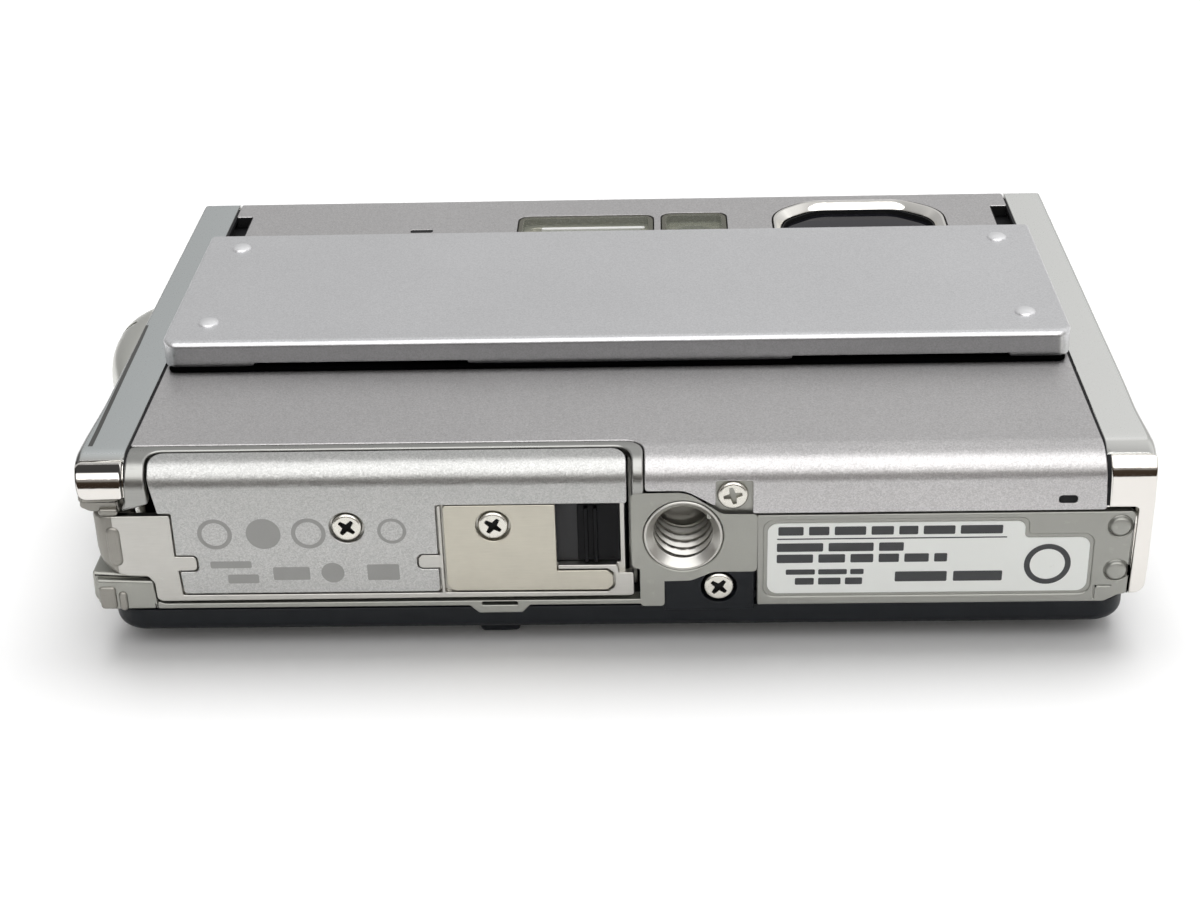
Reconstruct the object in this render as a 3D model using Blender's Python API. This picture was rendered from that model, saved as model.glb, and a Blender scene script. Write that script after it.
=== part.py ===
"""Slim weatherproof digital camera with a sliding lens cover and a battery door in its base.

The camera stands upright: +Z is up, the lens looks along -Y and +X is to the right seen
from the front. Shapes are drawn in millimetres from the middle of the body's base, and
placed in metres under an empty that moves the origin to the middle of the underside of
the bounding box.
"""

import math

import bmesh
import bpy
from mathutils import Matrix, Vector

MM = 0.001
GAP = 0.3  # clearance between neighbouring pieces

# Driving dimensions, in millimetres.
WIDTH = 91.7  # body without the strap lug
TOP = 61.15  # top plate; the shutter button stands a little above it
FRONT = -7.8  # painted front face
SEAM = 6.8  # plane where the metal body meets the rear case
BACK = 9.4  # rear face of the rear case
FOOT_BACK = 10.6  # small rest foot on the rear case
COVER_FACE = -10.6  # face of the sliding cover
DOME = 0.2  # height of the four domes pressed out of the cover
LUG_REACH = 2.5  # strap lug, beyond the body's side
PROUD = 0.2  # hinge knuckles and plate rivets, below the base

HALF = WIDTH / 2
METAL_BACK = SEAM - GAP / 2
CASE_FRONT = SEAM + GAP / 2
LOW_BEND = 2.7  # bend radius between front and base
HIGH_BEND = 2.2  # bend radius between front and top
SHEET = 0.8  # front panel and bottom plate
PANEL_HALF = 41.15
TRIM_INNER = PANEL_HALF + 0.35
TRIM_WALL_INSIDE = 44.5
TRIM_WALL = 1.2
TRIM_ROUND = 1.6
TRIM_REAR_INSIDE = METAL_BACK - TRIM_WALL

CHASSIS_HALF = 44.1
CHASSIS_WALL = 0.8
CHASSIS_FRONT = -5.8
CHASSIS_BACK = 6.2
CHASSIS_LOW = 1.5
CHASSIS_TOP = 59.6

COVER_HALF = 41.4
COVER_LOW = 17.9
COVER_HIGH = 43.7
COVER_SKIRT = -8.05  # rear edge of the cover's skirt
COVER_RELIEF = (1.4, 14.8, 34.55)  # middle, inner and outer ends of the two recesses in the skirt
COVER_TRAVEL = 16.5  # upwards, from lens open to lens covered
SHOE = (37.0, 41.0)  # guide shoes behind the cover, which run in the panel's side slots
SHOE_NECK = 2.0  # height of the part of a shoe that passes through its slot
SLOT_INNER = 39.6
SLOT_LOW = SHOE[0] - 1.0
SLOT_HIGH = SHOE[0] + SHOE_NECK + COVER_TRAVEL + 0.4

HINGE_X = -43.1  # battery door's hinge pin
HINGE_Z = 1.35
KNUCKLE = 1.35
LUG_LEFT = -45.5
LUG_FRONT = (-4.0, -2.95)
LUG_REAR = (3.4, METAL_BACK)
DOOR_LEFT = -39.0
DOOR_RIGHT = 1.2
DOOR_TOP = 1.8
DOOR_PLATE = (0.9, 2.1)  # depth of the door frame behind its skin
OPENING_LEFT = -39.3
OPENING_RIGHT = 2.05

SOCKET_X = 5.98  # tripod socket
SOCKET_Y = -0.05
SOCKET_OUTER = 3.4
THREAD_RADIUS = 3.0
THREAD_PITCH = 1.27
SCREW_SHANK = 0.5
SCREW_CLEARANCE = 0.8  # radius of the holes that the shanks pass through

SCREW_HEAD = 1.32
SCREW_HOLE = SCREW_HEAD + GAP
DOOR_SCREWS = ((-22.87, -1.25), (-10.29, -1.28))
PANEL_SCREW = (10.22, -3.95)
CASE_HALF = 44.5
CASE_SCREW = (9.03, 5.07)

LENS = (16.25, 34.39, 44.0, 58.0)
FLASH = (-10.66, 3.58, 47.2, 54.7)
LAMP = (4.51, 11.34, 47.6, 55.05)
MICROPHONE = (-20.85, 50.3)

SHUTTER = (-32.0, -20.0, -1.7, 3.1)
POWER = (-11.0, -4.6, -0.7, 2.1)
CAP_LOW = 60.3  # underside of both top buttons

PORT = (-3.9, 3.5, 20.6, 41.4)
PORT_HINGE = (44.9, 3.5)

LCD = (-13.6, 41.4, 9.8, 51.5)
COLUMN_X = -29.0  # middle of the rear controls
DIAL_Z = 42.5
DIAL_RADIUS = 6.5
ROCKER = (-37.0, -21.0, 51.2, 55.6)
ROCKER_PIVOT_Y = 7.9
BUTTON_REACH = 9.5  # outer buttons, to each side of the column
BUTTON_RADIUS = 1.9
UPPER_BUTTONS_Z = 33.0
LOWER_BUTTONS_Z = 9.5
PAD_Z = 21.5
PAD_RADIUS = 7.8
PAD_HOLE = 3.3

BATTERY = (-36.4, -2.0, -3.9, 2.0, 4.0, 44.0)
CARD = (-32.0, -12.0, 3.2, 4.9, 4.0, 29.0)

# From the middle of the base to the middle of the bounding box's underside.
ORIGIN = Vector((LUG_REACH / 2, (DOME - COVER_FACE - FOOT_BACK) / 2, PROUD))


# ---------------------------------------------------------------- drawing helpers


def clear_scene():
    for obj in list(bpy.data.objects):
        bpy.data.objects.remove(obj, do_unlink=True)


def arc(centre, radius, start, end, steps):
    """Points on a circle from one angle to another, in degrees, both ends included."""
    angles = [math.radians(start + (end - start) * i / steps) for i in range(steps + 1)]
    return [(centre[0] + radius * math.cos(a), centre[1] + radius * math.sin(a)) for a in angles]


def circle(centre, radius, sides=24):
    return arc(centre, radius, 0, 360, sides)[:-1]


def rounded(low_a, high_a, low_b, high_b, radii, steps=3):
    """Rectangle with its own radius at each corner, anticlockwise from the low, low one."""
    if not isinstance(radii, tuple):
        radii = (radii,) * 4
    lower = ((low_a, low_b, 1, 1), (high_a, low_b, -1, 1))
    upper = ((high_a, high_b, -1, -1), (low_a, high_b, 1, -1))
    points = []
    for index, (a, b, inward_a, inward_b) in enumerate(lower + upper):
        radius = radii[index]
        if radius <= 0:
            points.append((a, b))
            continue
        centre = (a + inward_a * radius, b + inward_b * radius)
        start = 180 + 90 * index
        points += arc(centre, radius, start, start + 90, steps)
    return points


def on_axis(axis, depth, point):
    """A point of an outline placed at a depth along the axis that the outline faces."""
    a, b = point
    return {"X": (depth, a, b), "Y": (a, depth, b), "Z": (a, b, depth)}[axis]


def loft(axis, rings):
    """Closed solid through outlines with equal point counts: rings is (depth, outline) pairs."""
    mesh = bpy.data.meshes.new("loft")
    bm = bmesh.new()
    layers = [[bm.verts.new(on_axis(axis, depth, p)) for p in outline] for depth, outline in rings]
    count = len(layers[0])
    for lower, upper in zip(layers, layers[1:]):
        for i in range(count):
            j = (i + 1) % count
            bm.faces.new((lower[i], lower[j], upper[j], upper[i]))
    bm.faces.new(layers[0])
    bm.faces.new(layers[-1])
    bmesh.ops.recalc_face_normals(bm, faces=bm.faces)
    bm.to_mesh(mesh)
    bm.free()
    obj = bpy.data.objects.new("loft", mesh)
    bpy.context.scene.collection.objects.link(obj)
    return obj


def prism(axis, outline, low, high):
    return loft(axis, [(low, outline), (high, outline)])


def box(x0, x1, y0, y1, z0, z1):
    return prism("Z", [(x0, y0), (x1, y0), (x1, y1), (x0, y1)], z0, z1)


def cylinder(axis, centre, radius, low, high, sides=24):
    return prism(axis, circle(centre, radius, sides), low, high)


def turned(axis, centre, profile, sides=24):
    """Round solid from (depth, radius) pairs."""
    return loft(axis, [(depth, circle(centre, radius, sides)) for depth, radius in profile])


def combine(target, tool, operation):
    """Applies a Boolean to the target and removes the tool."""
    modifier = target.modifiers.new("Boolean", "BOOLEAN")
    modifier.operation = operation
    modifier.solver = "EXACT"
    modifier.object = tool
    graph = bpy.context.evaluated_depsgraph_get()
    mesh = bpy.data.meshes.new_from_object(target.evaluated_get(graph))
    target.modifiers.remove(modifier)
    target.data = mesh
    bpy.data.objects.remove(tool, do_unlink=True)
    return target


def join(first, *others):
    for other in others:
        combine(first, other, "UNION")
    return first


def cut(target, *tools):
    for tool in tools:
        combine(target, tool, "DIFFERENCE")
    return target


def make_material(name, color, roughness, metallic, alpha=1.0):
    made = bpy.data.materials.new(name)
    made.use_nodes = True
    shader = made.node_tree.nodes["Principled BSDF"]
    shader.inputs["Base Color"].default_value = (*color, 1.0)
    shader.inputs["Roughness"].default_value = roughness
    shader.inputs["Metallic"].default_value = metallic
    shader.inputs["Alpha"].default_value = alpha
    made.diffuse_color = (*color, alpha)
    return made


def place(obj, name, material, pivot=(0.0, 0.0, 0.0)):
    """Names a finished piece, moves its origin to the pivot and puts it under the root in metres."""
    shift = Matrix.Translation(-Vector(pivot))
    obj.data.transform(Matrix.Scale(MM, 4) @ shift)
    obj.data.materials.clear()
    obj.data.materials.append(material)
    obj.data.shade_smooth()
    obj.data.set_sharp_from_angle(angle=math.radians(35))
    obj.name = name
    obj.data.name = name
    obj.location = Vector(pivot) * MM
    obj.parent = bpy.data.objects["camera_root"]
    return obj


# ---------------------------------------------------------------- outer metal body


def bent_sheet(thickness):
    """Section of the front panel in (y, z): base, front and top in one bent strip."""
    low = (FRONT + LOW_BEND, LOW_BEND)
    high = (FRONT + HIGH_BEND, TOP - HIGH_BEND)
    outer = [(-2.2, 0.0)] + arc(low, LOW_BEND, 270, 180, 6)
    outer += arc(high, HIGH_BEND, 180, 90, 5) + [(-5.0, TOP)]
    inner_high = arc(high, HIGH_BEND - thickness, 90, 180, 5)
    inner_low = arc(low, LOW_BEND - thickness, 180, 270, 6)
    return outer + [(-5.0, TOP - thickness)] + inner_high + inner_low + [(-2.2, thickness)]


def lens_outline(inset, steps=3):
    """Opening around the lens: clipped upper corners, rounder than the lower ones."""
    left, right, low, high = LENS
    return rounded(left + inset, right - inset, low + inset, high - inset, (2.5, 2.5, 4.2, 4.2), steps)


def window_opening(window, grow):
    left, right, low, high = window
    return rounded(left - grow, right + grow, low - grow, high + grow, 1.2)


def make_front_panel():
    panel = prism("X", bent_sheet(SHEET), -PANEL_HALF, PANEL_HALF)
    through = (FRONT - 1, FRONT + 1.5)
    cut(panel, box(-50, 2.7, -10, 0, -1, 3.2))
    boss_edge = [(2.0, -4.45), (6.2, -4.45), (7.6, -3.85), (9.5, -2.3), (9.5, 0.0), (2.0, 0.0)]
    cut(panel, prism("Z", boss_edge, -1, 1.5))
    for window in (FLASH, LAMP):
        cut(panel, prism("Y", window_opening(window, GAP), *through))
    cut(panel, prism("Y", lens_outline(-GAP), *through))
    mic_x, mic_z = MICROPHONE
    cut(panel, box(mic_x - 1.2, mic_x + 1.2, *through, mic_z - 0.4, mic_z + 0.4))
    for side in (-1, 1):
        edges = sorted((side * SLOT_INNER, side * 45))
        cut(panel, box(*edges, *through, SLOT_LOW, SLOT_HIGH))
    screw_x, screw_y = PANEL_SCREW
    screw_front = screw_y - SCREW_HEAD
    cut(panel, box(screw_x - SCREW_HOLE, screw_x + SCREW_HOLE, screw_front, 0, -1, 1.5))
    cut(panel, box(37.7, 39.3, -3.7, -2.9, -1, 1.5))
    return place(panel, "front_panel", PAINT)


def trim_outline(inset):
    radii = tuple(max(r - inset, 0.2) for r in (LOW_BEND, 0.9, 0.9, HIGH_BEND))
    return rounded(FRONT + inset, METAL_BACK - inset, inset, TOP - inset, radii, 4)


def side_trim(side):
    """Cap over one end of the body: a dished solid, hollow towards the middle."""
    rings = [(TRIM_INNER, 0.0), (HALF - 1.5, 0.0)]
    rings += [(HALF - 0.6, 0.35), (HALF - 0.2, 0.85), (HALF, TRIM_ROUND)]
    trim = loft("X", [(side * x, trim_outline(inset)) for x, inset in rings])
    hollow = sorted((side * (TRIM_INNER - 2), side * TRIM_WALL_INSIDE))
    return cut(trim, prism("X", trim_outline(TRIM_WALL), *hollow))


def make_right_trim():
    trim = side_trim(1)
    base_cut = (-2.2, METAL_BACK + 1, -1, TRIM_WALL + 0.5)
    cut(trim, box(TRIM_INNER - 2, TRIM_WALL_INSIDE, *base_cut))
    hinge_x, hinge_y = PORT_HINGE
    front, rear, low, high = PORT
    cut(trim, box(TRIM_WALL_INSIDE - 1, HALF + 1, front, rear, low, high))
    cut(trim, cylinder("Z", PORT_HINGE, 1.2, low, high, 16))
    cut(trim, box(hinge_x, HALF + 1, rear - 1, hinge_y + 1.2, low, high))
    cut(trim, cylinder("Z", PORT_HINGE, 0.6, low - 1.2, high + 1.2, 12))
    return place(trim, "right_side_trim", TRIM)


def lug_swell(inset):
    """Outline in (x, z) of the strap lug: a smooth swelling with its top further out."""
    low, high = 17.6, 36.4
    points = []
    steps = 15
    peak = 7 / steps
    for i in range(steps + 1):
        t = i / steps
        rise = (t / peak if t < peak else (1 - t) / (1 - peak)) * math.pi / 2
        reach = (LUG_REACH - inset) * math.sin(rise) ** 1.5
        points.append((-HALF + 0.4 - (reach + 0.4), low + inset / 2 + t * (high - low - inset)))
    return points + [(-HALF + 1.2, high - 2.0), (-HALF + 1.2, low + 2.0)]


def make_left_trim():
    trim = side_trim(-1)
    rings = [(-6.2, 0.8), (-5.7, 0.25), (-5.0, 0.0), (-0.4, 0.0), (0.3, 0.25), (0.8, 0.8)]
    swell = loft("Y", [(y, lug_swell(inset)) for y, inset in rings])
    join(trim, swell)
    cut(trim, prism("Y", rounded(-47.0, -46.1, 25.5, 30.5, 0.4), -8, 3))
    cut(trim, box(-50, -TRIM_INNER + 1, LUG_FRONT[0] - GAP, METAL_BACK + 1, -1, 5.8))
    return place(trim, "left_side_trim", TRIM)


def make_top_cover():
    cover = box(-PANEL_HALF, PANEL_HALF, -5.0 + GAP, METAL_BACK, 60.0, TOP)
    for left, right, front, rear in (SHUTTER, POWER):
        radius = (rear - front) / 2 + GAP - 0.01
        hole = rounded(left - GAP, right + GAP, front - GAP, rear + GAP, radius, 6)
        cut(cover, prism("Z", hole, 59, TOP + 1))
    return place(cover, "top_cover", TRIM)


def make_bottom_plate():
    front = -1.9
    outline = rounded(12.4, 44.2, front, 6.35, (0.2, 0.6, 0.2, 0.2))
    plate = prism("Z", outline, 0, SHEET)
    for y in (-0.54, 3.8):
        join(plate, turned("Z", (43.08, y), [(0.4, 0.8), (-PROUD + 0.1, 0.8), (-PROUD, 0.65)], 16))
    cut(plate, prism("Z", label_outline(-GAP), -1, 0.5))
    return place(plate, "bottom_plate", STEEL)


def label_outline(inset):
    """Sticker with rounded corners and one corner stepped back."""
    left, right, front, rear = 13.2 + inset, 40.7 - inset, -1.2 + inset, 5.8 - inset
    step_x, step_y = 35.2 - inset, 0.4 + inset
    first = arc((left + 1, front + 1), 1, 180, 270, 4)
    step = [(step_x, front), (step_x, step_y)]
    corner = arc((right - 1, step_y + 1), 1, 270, 360, 4)
    last = arc((right - 1, rear - 1), 1, 0, 90, 4) + arc((left + 1, rear - 1), 1, 90, 180, 4)
    return first + step + corner + last


def make_rating_label():
    return place(prism("Z", label_outline(0.0), 0.02, 0.2), "rating_label", LABEL)


# ---------------------------------------------------------------- chassis


def rim_section():
    """Section in (y, z) of the door opening's rim, a bent strip just inside the panel's bend."""
    centre = (FRONT + LOW_BEND, LOW_BEND)
    outer = arc(centre, 2.5, 180, 270, 6)
    inner = arc(centre, 1.7, 270, 180, 6)
    return [(-7.6, 2.9)] + outer + [(-3.0, 0.2), (-3.0, 1.0)] + inner + [(-6.8, 2.9)]


def hinge_lug(depths):
    right = -39.4 if depths is LUG_FRONT else -40.2
    outline = rounded(LUG_LEFT, right, 0.0, 5.5, (2.0, 0.2, 0.4, 0.4))
    lug = prism("Y", outline, *depths)
    return join(lug, cylinder("Y", (HINGE_X, HINGE_Z), HINGE_Z + PROUD, *depths))


def socket_land():
    """Flat around the tripod socket, with the curved edges that the panel and rear case follow."""
    outline = [(1.9, -4.1), (6.0, -4.1), (7.3, -3.55), (9.2, -1.95), (12.1, -1.9), (12.1, 3.2)]
    outline += [(8.3, 3.2), (6.3, 4.0), (3.9, 4.1), (3.9, METAL_BACK), (1.9, METAL_BACK)]
    return prism("Z", outline, 0.0, CHASSIS_LOW + 0.3)


def chassis_walls():
    half, front, back = CHASSIS_HALF, CHASSIS_FRONT, CHASSIS_BACK
    low, top, wall = CHASSIS_LOW, CHASSIS_TOP, CHASSIS_WALL
    bay_right, bay_top = 2.85, 45.8
    return [
        box(-half, half, front, back, top - wall, top),
        box(half - wall, half, front, back, low, top),
        box(-half, -half + wall, front, back, 6.1, top),
        box(1.5, half, front, back, low, low + wall),
        box(OPENING_RIGHT, bay_right, front, back, low, bay_top),
        box(-half, bay_right, front, back, bay_top - wall, bay_top),
        box(-40.1, bay_right, 5.75, back + 0.15, 0.1, bay_top),
        box(-40.1, OPENING_LEFT, front, back, 2.45, bay_top),
        box(-41.5, 3.6, 6.1, METAL_BACK, 0.1, 3.0),
    ]


def make_chassis():
    half, front = CHASSIS_HALF, CHASSIS_FRONT
    chassis = box(-half, half, front, front + CHASSIS_WALL, CHASSIS_LOW, CHASSIS_TOP)
    join(chassis, *chassis_walls())
    join(chassis, prism("X", rim_section(), -41.0, 2.4))
    join(chassis, box(-41.0, 2.4, -7.5, -5.0, 2.15, 2.9))
    join(chassis, hinge_lug(LUG_FRONT), hinge_lug(LUG_REAR))
    join(chassis, socket_land())
    join(chassis, cylinder("Z", (SOCKET_X, SOCKET_Y), 4.3, CHASSIS_LOW + 0.1, 9.0))
    cut(chassis, *door_clearance())
    cut(chassis, *chassis_openings())
    return place(chassis, "chassis", CASTING)


def door_clearance():
    """Room for the closed door, its seal and the swing of its knuckle."""
    return [
        box(OPENING_LEFT, 1.55, -9, -3.0, -1, 2.45),
        box(OPENING_LEFT, OPENING_RIGHT, -4.95, 6.15, -1, 2.45),
        box(-39.9, -39.0, 3.0, 6.15, -1, 2.45),
        box(-47, -39.2, LUG_FRONT[1], LUG_REAR[0], -1, 3.3),
        cylinder("Y", (HINGE_X, HINGE_Z), 0.8, -5, METAL_BACK + 1, 16),
    ]


def chassis_openings():
    front = (CHASSIS_FRONT - 2, CHASSIS_FRONT + CHASSIS_WALL + 0.2)
    shutter_x = (SHUTTER[0] + SHUTTER[1]) / 2
    power_x = (POWER[0] + POWER[1]) / 2
    return [
        box(17.0, 33.9, *front, 44.5, 57.9),
        box(-24.0, 12.2, *front, 46.9, 55.8),
        box(shutter_x - 1.9, shutter_x + 1.9, -0.9, 2.5, 58, 60),
        box(power_x - 1.4, power_x + 1.4, -0.7, 2.3, 58, 60),
        box(43.0, 45.0, -4.6, 5.0, 20.0, 42.0),
        box(TRIM_INNER - 0.3, 45.0, TRIM_REAR_INSIDE - GAP, 7.0, 1.0, 61.0),
        box(-45.0, -TRIM_INNER + 0.3, TRIM_REAR_INSIDE - GAP, 7.0, 5.9, 61.0),
        cylinder("Z", (SOCKET_X, SOCKET_Y), SOCKET_OUTER + GAP, -1, 7.6),
        cylinder("Z", PANEL_SCREW, SCREW_CLEARANCE, 1, 3, 12),
        cylinder("Z", CASE_SCREW, SCREW_CLEARANCE, 1, 3, 12),
    ]


def make_tripod_socket():
    """Insert with a coned mouth and grooves that stand for the thread's turns."""
    centre = (SOCKET_X, SOCKET_Y)
    socket = cylinder("Z", centre, SOCKET_OUTER, 0.05, 7.3)
    crest, thread_low = THREAD_RADIUS - 0.43, 0.9
    bore = [(-0.5, THREAD_RADIUS + 0.15), (thread_low, crest)]
    for turn in range(5):
        low = thread_low + THREAD_PITCH * turn
        bore += [(low + 0.3, crest), (low + 0.75, THREAD_RADIUS), (low + THREAD_PITCH, crest)]
    bore.append((8.0, crest))
    return place(cut(socket, turned("Z", centre, bore)), "tripod_socket", STEEL)


# ---------------------------------------------------------------- sliding cover


def cover_outline(inset):
    half = COVER_HALF - inset
    return rounded(-half, half, COVER_LOW + inset, COVER_HIGH - inset, 1.2 - inset / 2)


def make_slide_cover():
    rings = [(COVER_SKIRT, 0.0), (COVER_FACE + 0.6, 0.0)]
    rings += [(COVER_FACE + 0.18, 0.18), (COVER_FACE, 0.6)]
    cover = loft("Y", [(y, cover_outline(inset)) for y, inset in rings])
    cut(cover, prism("Y", cover_outline(0.7), COVER_FACE + 0.6, COVER_SKIRT + 1))
    for side in (-1, 1):
        edges = sorted((COVER_RELIEF[0] + side * COVER_RELIEF[1], COVER_RELIEF[0] + side * COVER_RELIEF[2]))
        relief = box(*edges, COVER_SKIRT - 0.3, COVER_SKIRT + 1, COVER_LOW - 1, COVER_LOW + 1)
        cut(cover, relief)
        for z in (22.2, 40.2):
            dome = [(COVER_FACE + 0.3, 0.95), (COVER_FACE - 0.05, 0.9), (COVER_FACE - DOME, 0.6)]
            join(cover, turned("Y", (side * 37.85, z), dome, 16))
    return place(cover, "slide_cover", PAINT)


def cover_shoe(side):
    """Guide that joins the cover to the rail behind the front panel through the side slot."""
    low, high = SHOE
    neck_high = low + SHOE_NECK
    inner, neck, pad, outer = 35.5, 39.9, 40.4, 40.85

    def across(start, end):
        return sorted((side * start, side * end))

    shoe = box(*across(inner, pad), COVER_FACE + 0.9, FRONT - GAP, low, high)
    join(shoe, box(*across(neck, pad), FRONT - 1, -6.2, low, neck_high))
    join(shoe, box(*across(neck, outer), FRONT - 0.1, -6.15, low, neck_high))
    join(shoe, box(*across(inner, outer), -6.7, -6.1, low, high))
    return shoe


# ---------------------------------------------------------------- lens, flash and lamp


def make_lens_ring():
    ring = loft("Y", [(-6.2, lens_outline(0.0)), (-7.4, lens_outline(0.0)), (-7.7, lens_outline(0.3))])
    cut(ring, prism("Y", lens_outline(0.95), -9, -5))
    return place(ring, "lens_ring", CHROME)


def make_lens_window():
    return place(prism("Y", lens_outline(0.95 + GAP), -7.2, -6.4), "lens_window", DARK_GLASS)


def make_flash():
    outline = window_opening(FLASH, 0.0)
    place(prism("Y", outline, FRONT + 0.05, FRONT + 0.75), "flash_window", CLEAR)
    unit = box(-11.0, 4.0, -6.4, 0.5, 47.6, 54.6)
    mouth = rounded(-10, 3, 48.4, 53.8, 0.5)
    cut(unit, loft("Y", [(-6.8, mouth), (-3.0, rounded(-7, 0, 50, 52.2, 0.5))]))
    place(unit, "flash_unit", SILVERED)


def make_lamp():
    pane = prism("Y", window_opening(LAMP, 0.0), FRONT + 0.05, FRONT + 0.75)
    place(pane, "lamp_window", CLEAR)
    centre = ((LAMP[0] + LAMP[1]) / 2, (LAMP[2] + LAMP[3]) / 2)
    profile = [(-6.4, 1.2), (-5.9, 1.9), (-4.6, 2.2), (-1.0, 2.2)]
    place(turned("Y", centre, profile, 16), "af_lamp", CLEAR)


def make_optics():
    """Folded lens: the prism turns the light down the housing to the sensor at its foot."""
    housing = box(17.4, 33.6, -4.6, 5.0, 9.6, 58.2)
    inside = box(18.4, 32.6, -4.1, 6.0, 10.2, 57.6)
    entrance = box(19.0, 32.0, -5.0, -3.0, 46.3, 56.5)
    cut(housing, inside, entrance)
    place(housing, "lens_housing", BLACK)
    prism_section = [(-3.7, 47.0), (3.9, 47.0), (-3.7, 54.6)]
    place(prism("X", prism_section, 20.5, 30.5), "lens_prism", CLEAR)
    place(box(21.0, 30.0, -3.4, 3.6, 10.5, 12.2), "image_sensor", BLACK)
    lens_group("zoom_lens_group", 38.0, 42.0)
    lens_group("compensator_lens_group", 24.0, 27.0)
    lens_group("focus_lens_group", 17.0, 20.0)


def lens_group(name, low, high):
    """Square carrier with its lens element bulging from one side."""
    carrier = box(19.3, 31.7, -3.6, 3.6, low, high - 0.8)
    lens = turned("Z", (25.5, 0.0), [(high - 1.2, 3.0), (high - 0.5, 2.8), (high, 1.8)], 16)
    return place(join(carrier, lens), name, BLACK)


# ---------------------------------------------------------------- rear case and controls


def case_outline(inset):
    half = CASE_HALF - inset
    return rounded(-half, half, 0.2 + inset, 60.9 - inset, max(3.0 - inset, 0.5), 4)


def make_rear_case():
    rings = [(CASE_FRONT, 0.0), (8.2, 0.1), (8.9, 0.45), (9.25, 0.95), (BACK, 1.6)]
    case = loft("Y", [(y, case_outline(inset)) for y, inset in rings])
    cut(case, prism("Y", case_outline(1.1), CASE_FRONT - 1, BACK - 1.0))
    tongue = [(4.2, 4.45), (6.4, 4.35), (8.5, 3.55), (12.0, 3.55), (12.0, 7.5), (4.2, 7.5)]
    join(case, prism("Z", tongue, 0.0, 1.2))
    cut(case, cylinder("Z", CASE_SCREW, SCREW_HOLE, -1, 0.85))
    cut(case, cylinder("Z", CASE_SCREW, SCREW_CLEARANCE, -1, 2, 12))
    sole = rounded(-12.0, -8.5, 1.6, 4.6, 0.5)
    foot = [(9.0, sole), (10.3, sole), (FOOT_BACK, rounded(-11.7, -8.8, 1.9, 4.3, 0.2))]
    join(case, loft("Y", foot))
    cut(case, *case_openings())
    return place(case, "rear_case", CASE)


def case_openings():
    through = (BACK - 2.5, BACK + 2)
    tools = []
    for (left, right, low, high), side_gap in ((LCD, GAP), (ROCKER, 0.4)):
        opening = rounded(left - side_gap, right + side_gap, low - GAP, high + GAP, 1.0)
        tools.append(prism("Y", opening, *through))
    for z, radius in ((DIAL_Z, DIAL_RADIUS), (PAD_Z, PAD_RADIUS)):
        tools.append(cylinder("Y", (COLUMN_X, z), radius + GAP, *through, 32))
    for x in (COLUMN_X - BUTTON_REACH, COLUMN_X + BUTTON_REACH):
        for z in (UPPER_BUTTONS_Z, LOWER_BUTTONS_Z):
            tools.append(cylinder("Y", (x, z), BUTTON_RADIUS + GAP, *through, 16))
    return tools


def round_button(name, x, z):
    """Cap with a flange that stays behind the case."""
    profile = [(7.6, BUTTON_RADIUS + 0.7), (8.1, BUTTON_RADIUS + 0.7), (8.1, BUTTON_RADIUS)]
    profile += [(9.7, BUTTON_RADIUS), (9.9, BUTTON_RADIUS - 0.35)]
    return place(turned("Y", (x, z), profile, 16), name, CASE, (x, 8.1, z))


def knurled_ring(centre, radius):
    """Circle whose every other point is set in a little."""
    sides, depth = 48, 0.18
    outer = circle(centre, radius, sides)
    inner = circle(centre, radius - depth, sides)
    return [outer[i] if i % 2 else inner[i] for i in range(sides)]


def make_mode_dial():
    centre = (COLUMN_X, DIAL_Z)
    rings = [(8.0, DIAL_RADIUS), (10.0, DIAL_RADIUS), (10.3, DIAL_RADIUS - 0.4)]
    dial = loft("Y", [(y, knurled_ring(centre, radius)) for y, radius in rings])
    join(dial, cylinder("Y", centre, 2.0, 6.8, 8.5, 16))
    return place(dial, "mode_dial", CASE, (COLUMN_X, 8.0, DIAL_Z))


def make_zoom_rocker():
    left, right, low, high = ROCKER
    middle = (left + right) / 2
    section = [(left, 7.7), (right, 7.7), (right, 9.9), (right - 1.2, 10.1), (middle + 2, 9.8)]
    section += [(middle - 2, 9.8), (left + 1.2, 10.1), (left, 9.9)]
    rocker = prism("Z", section, low, high)
    return place(rocker, "zoom_rocker", CASE, (middle, ROCKER_PIVOT_Y, low))


def make_arrow_pad():
    centre = (COLUMN_X, PAD_Z)
    pivot = (COLUMN_X, 7.6, PAD_Z)
    profile = [(8.4, PAD_RADIUS), (9.6, PAD_RADIUS), (9.9, PAD_RADIUS - 0.5)]
    pad = turned("Y", centre, profile, 32)
    cut(pad, cylinder("Y", centre, PAD_HOLE, 7, 11))
    place(pad, "arrow_pad", CASE, pivot)
    place(cylinder("Y", centre, 8.4, 7.3, 7.9), "pad_carrier", BLACK, pivot)
    ok_profile = [(8.5, 2.9), (9.9, 2.9), (10.1, 2.5)]
    place(turned("Y", centre, ok_profile, 20), "ok_button", CASE, (COLUMN_X, 8.5, PAD_Z))


def make_lcd():
    place(prism("Y", rounded(*LCD, 0.8), 8.55, BACK - 0.05), "lcd_window", DARK_GLASS)
    place(box(LCD[0] + 0.2, LCD[1] - 0.2, 6.7, 8.1, LCD[2], LCD[3]), "lcd_panel", BLACK)


def top_button(name, area, top, stem_half, stem_low):
    left, right, front, rear = area
    radius = (rear - front) / 2 - 0.01
    edge = rounded(left, right, front, rear, radius, 5)
    face = rounded(left + 0.3, right - 0.3, front + 0.3, rear - 0.3, radius - 0.3, 5)
    button = loft("Z", [(CAP_LOW, edge), (top - 0.25, edge), (top, face)])
    x, y = (left + right) / 2, 0.8
    join(button, box(x - stem_half, x + stem_half, y - 1.2, y + 1.2, stem_low, 60.5))
    return place(button, name, TRIM, (x, y, CAP_LOW))


# ---------------------------------------------------------------- battery door


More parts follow.
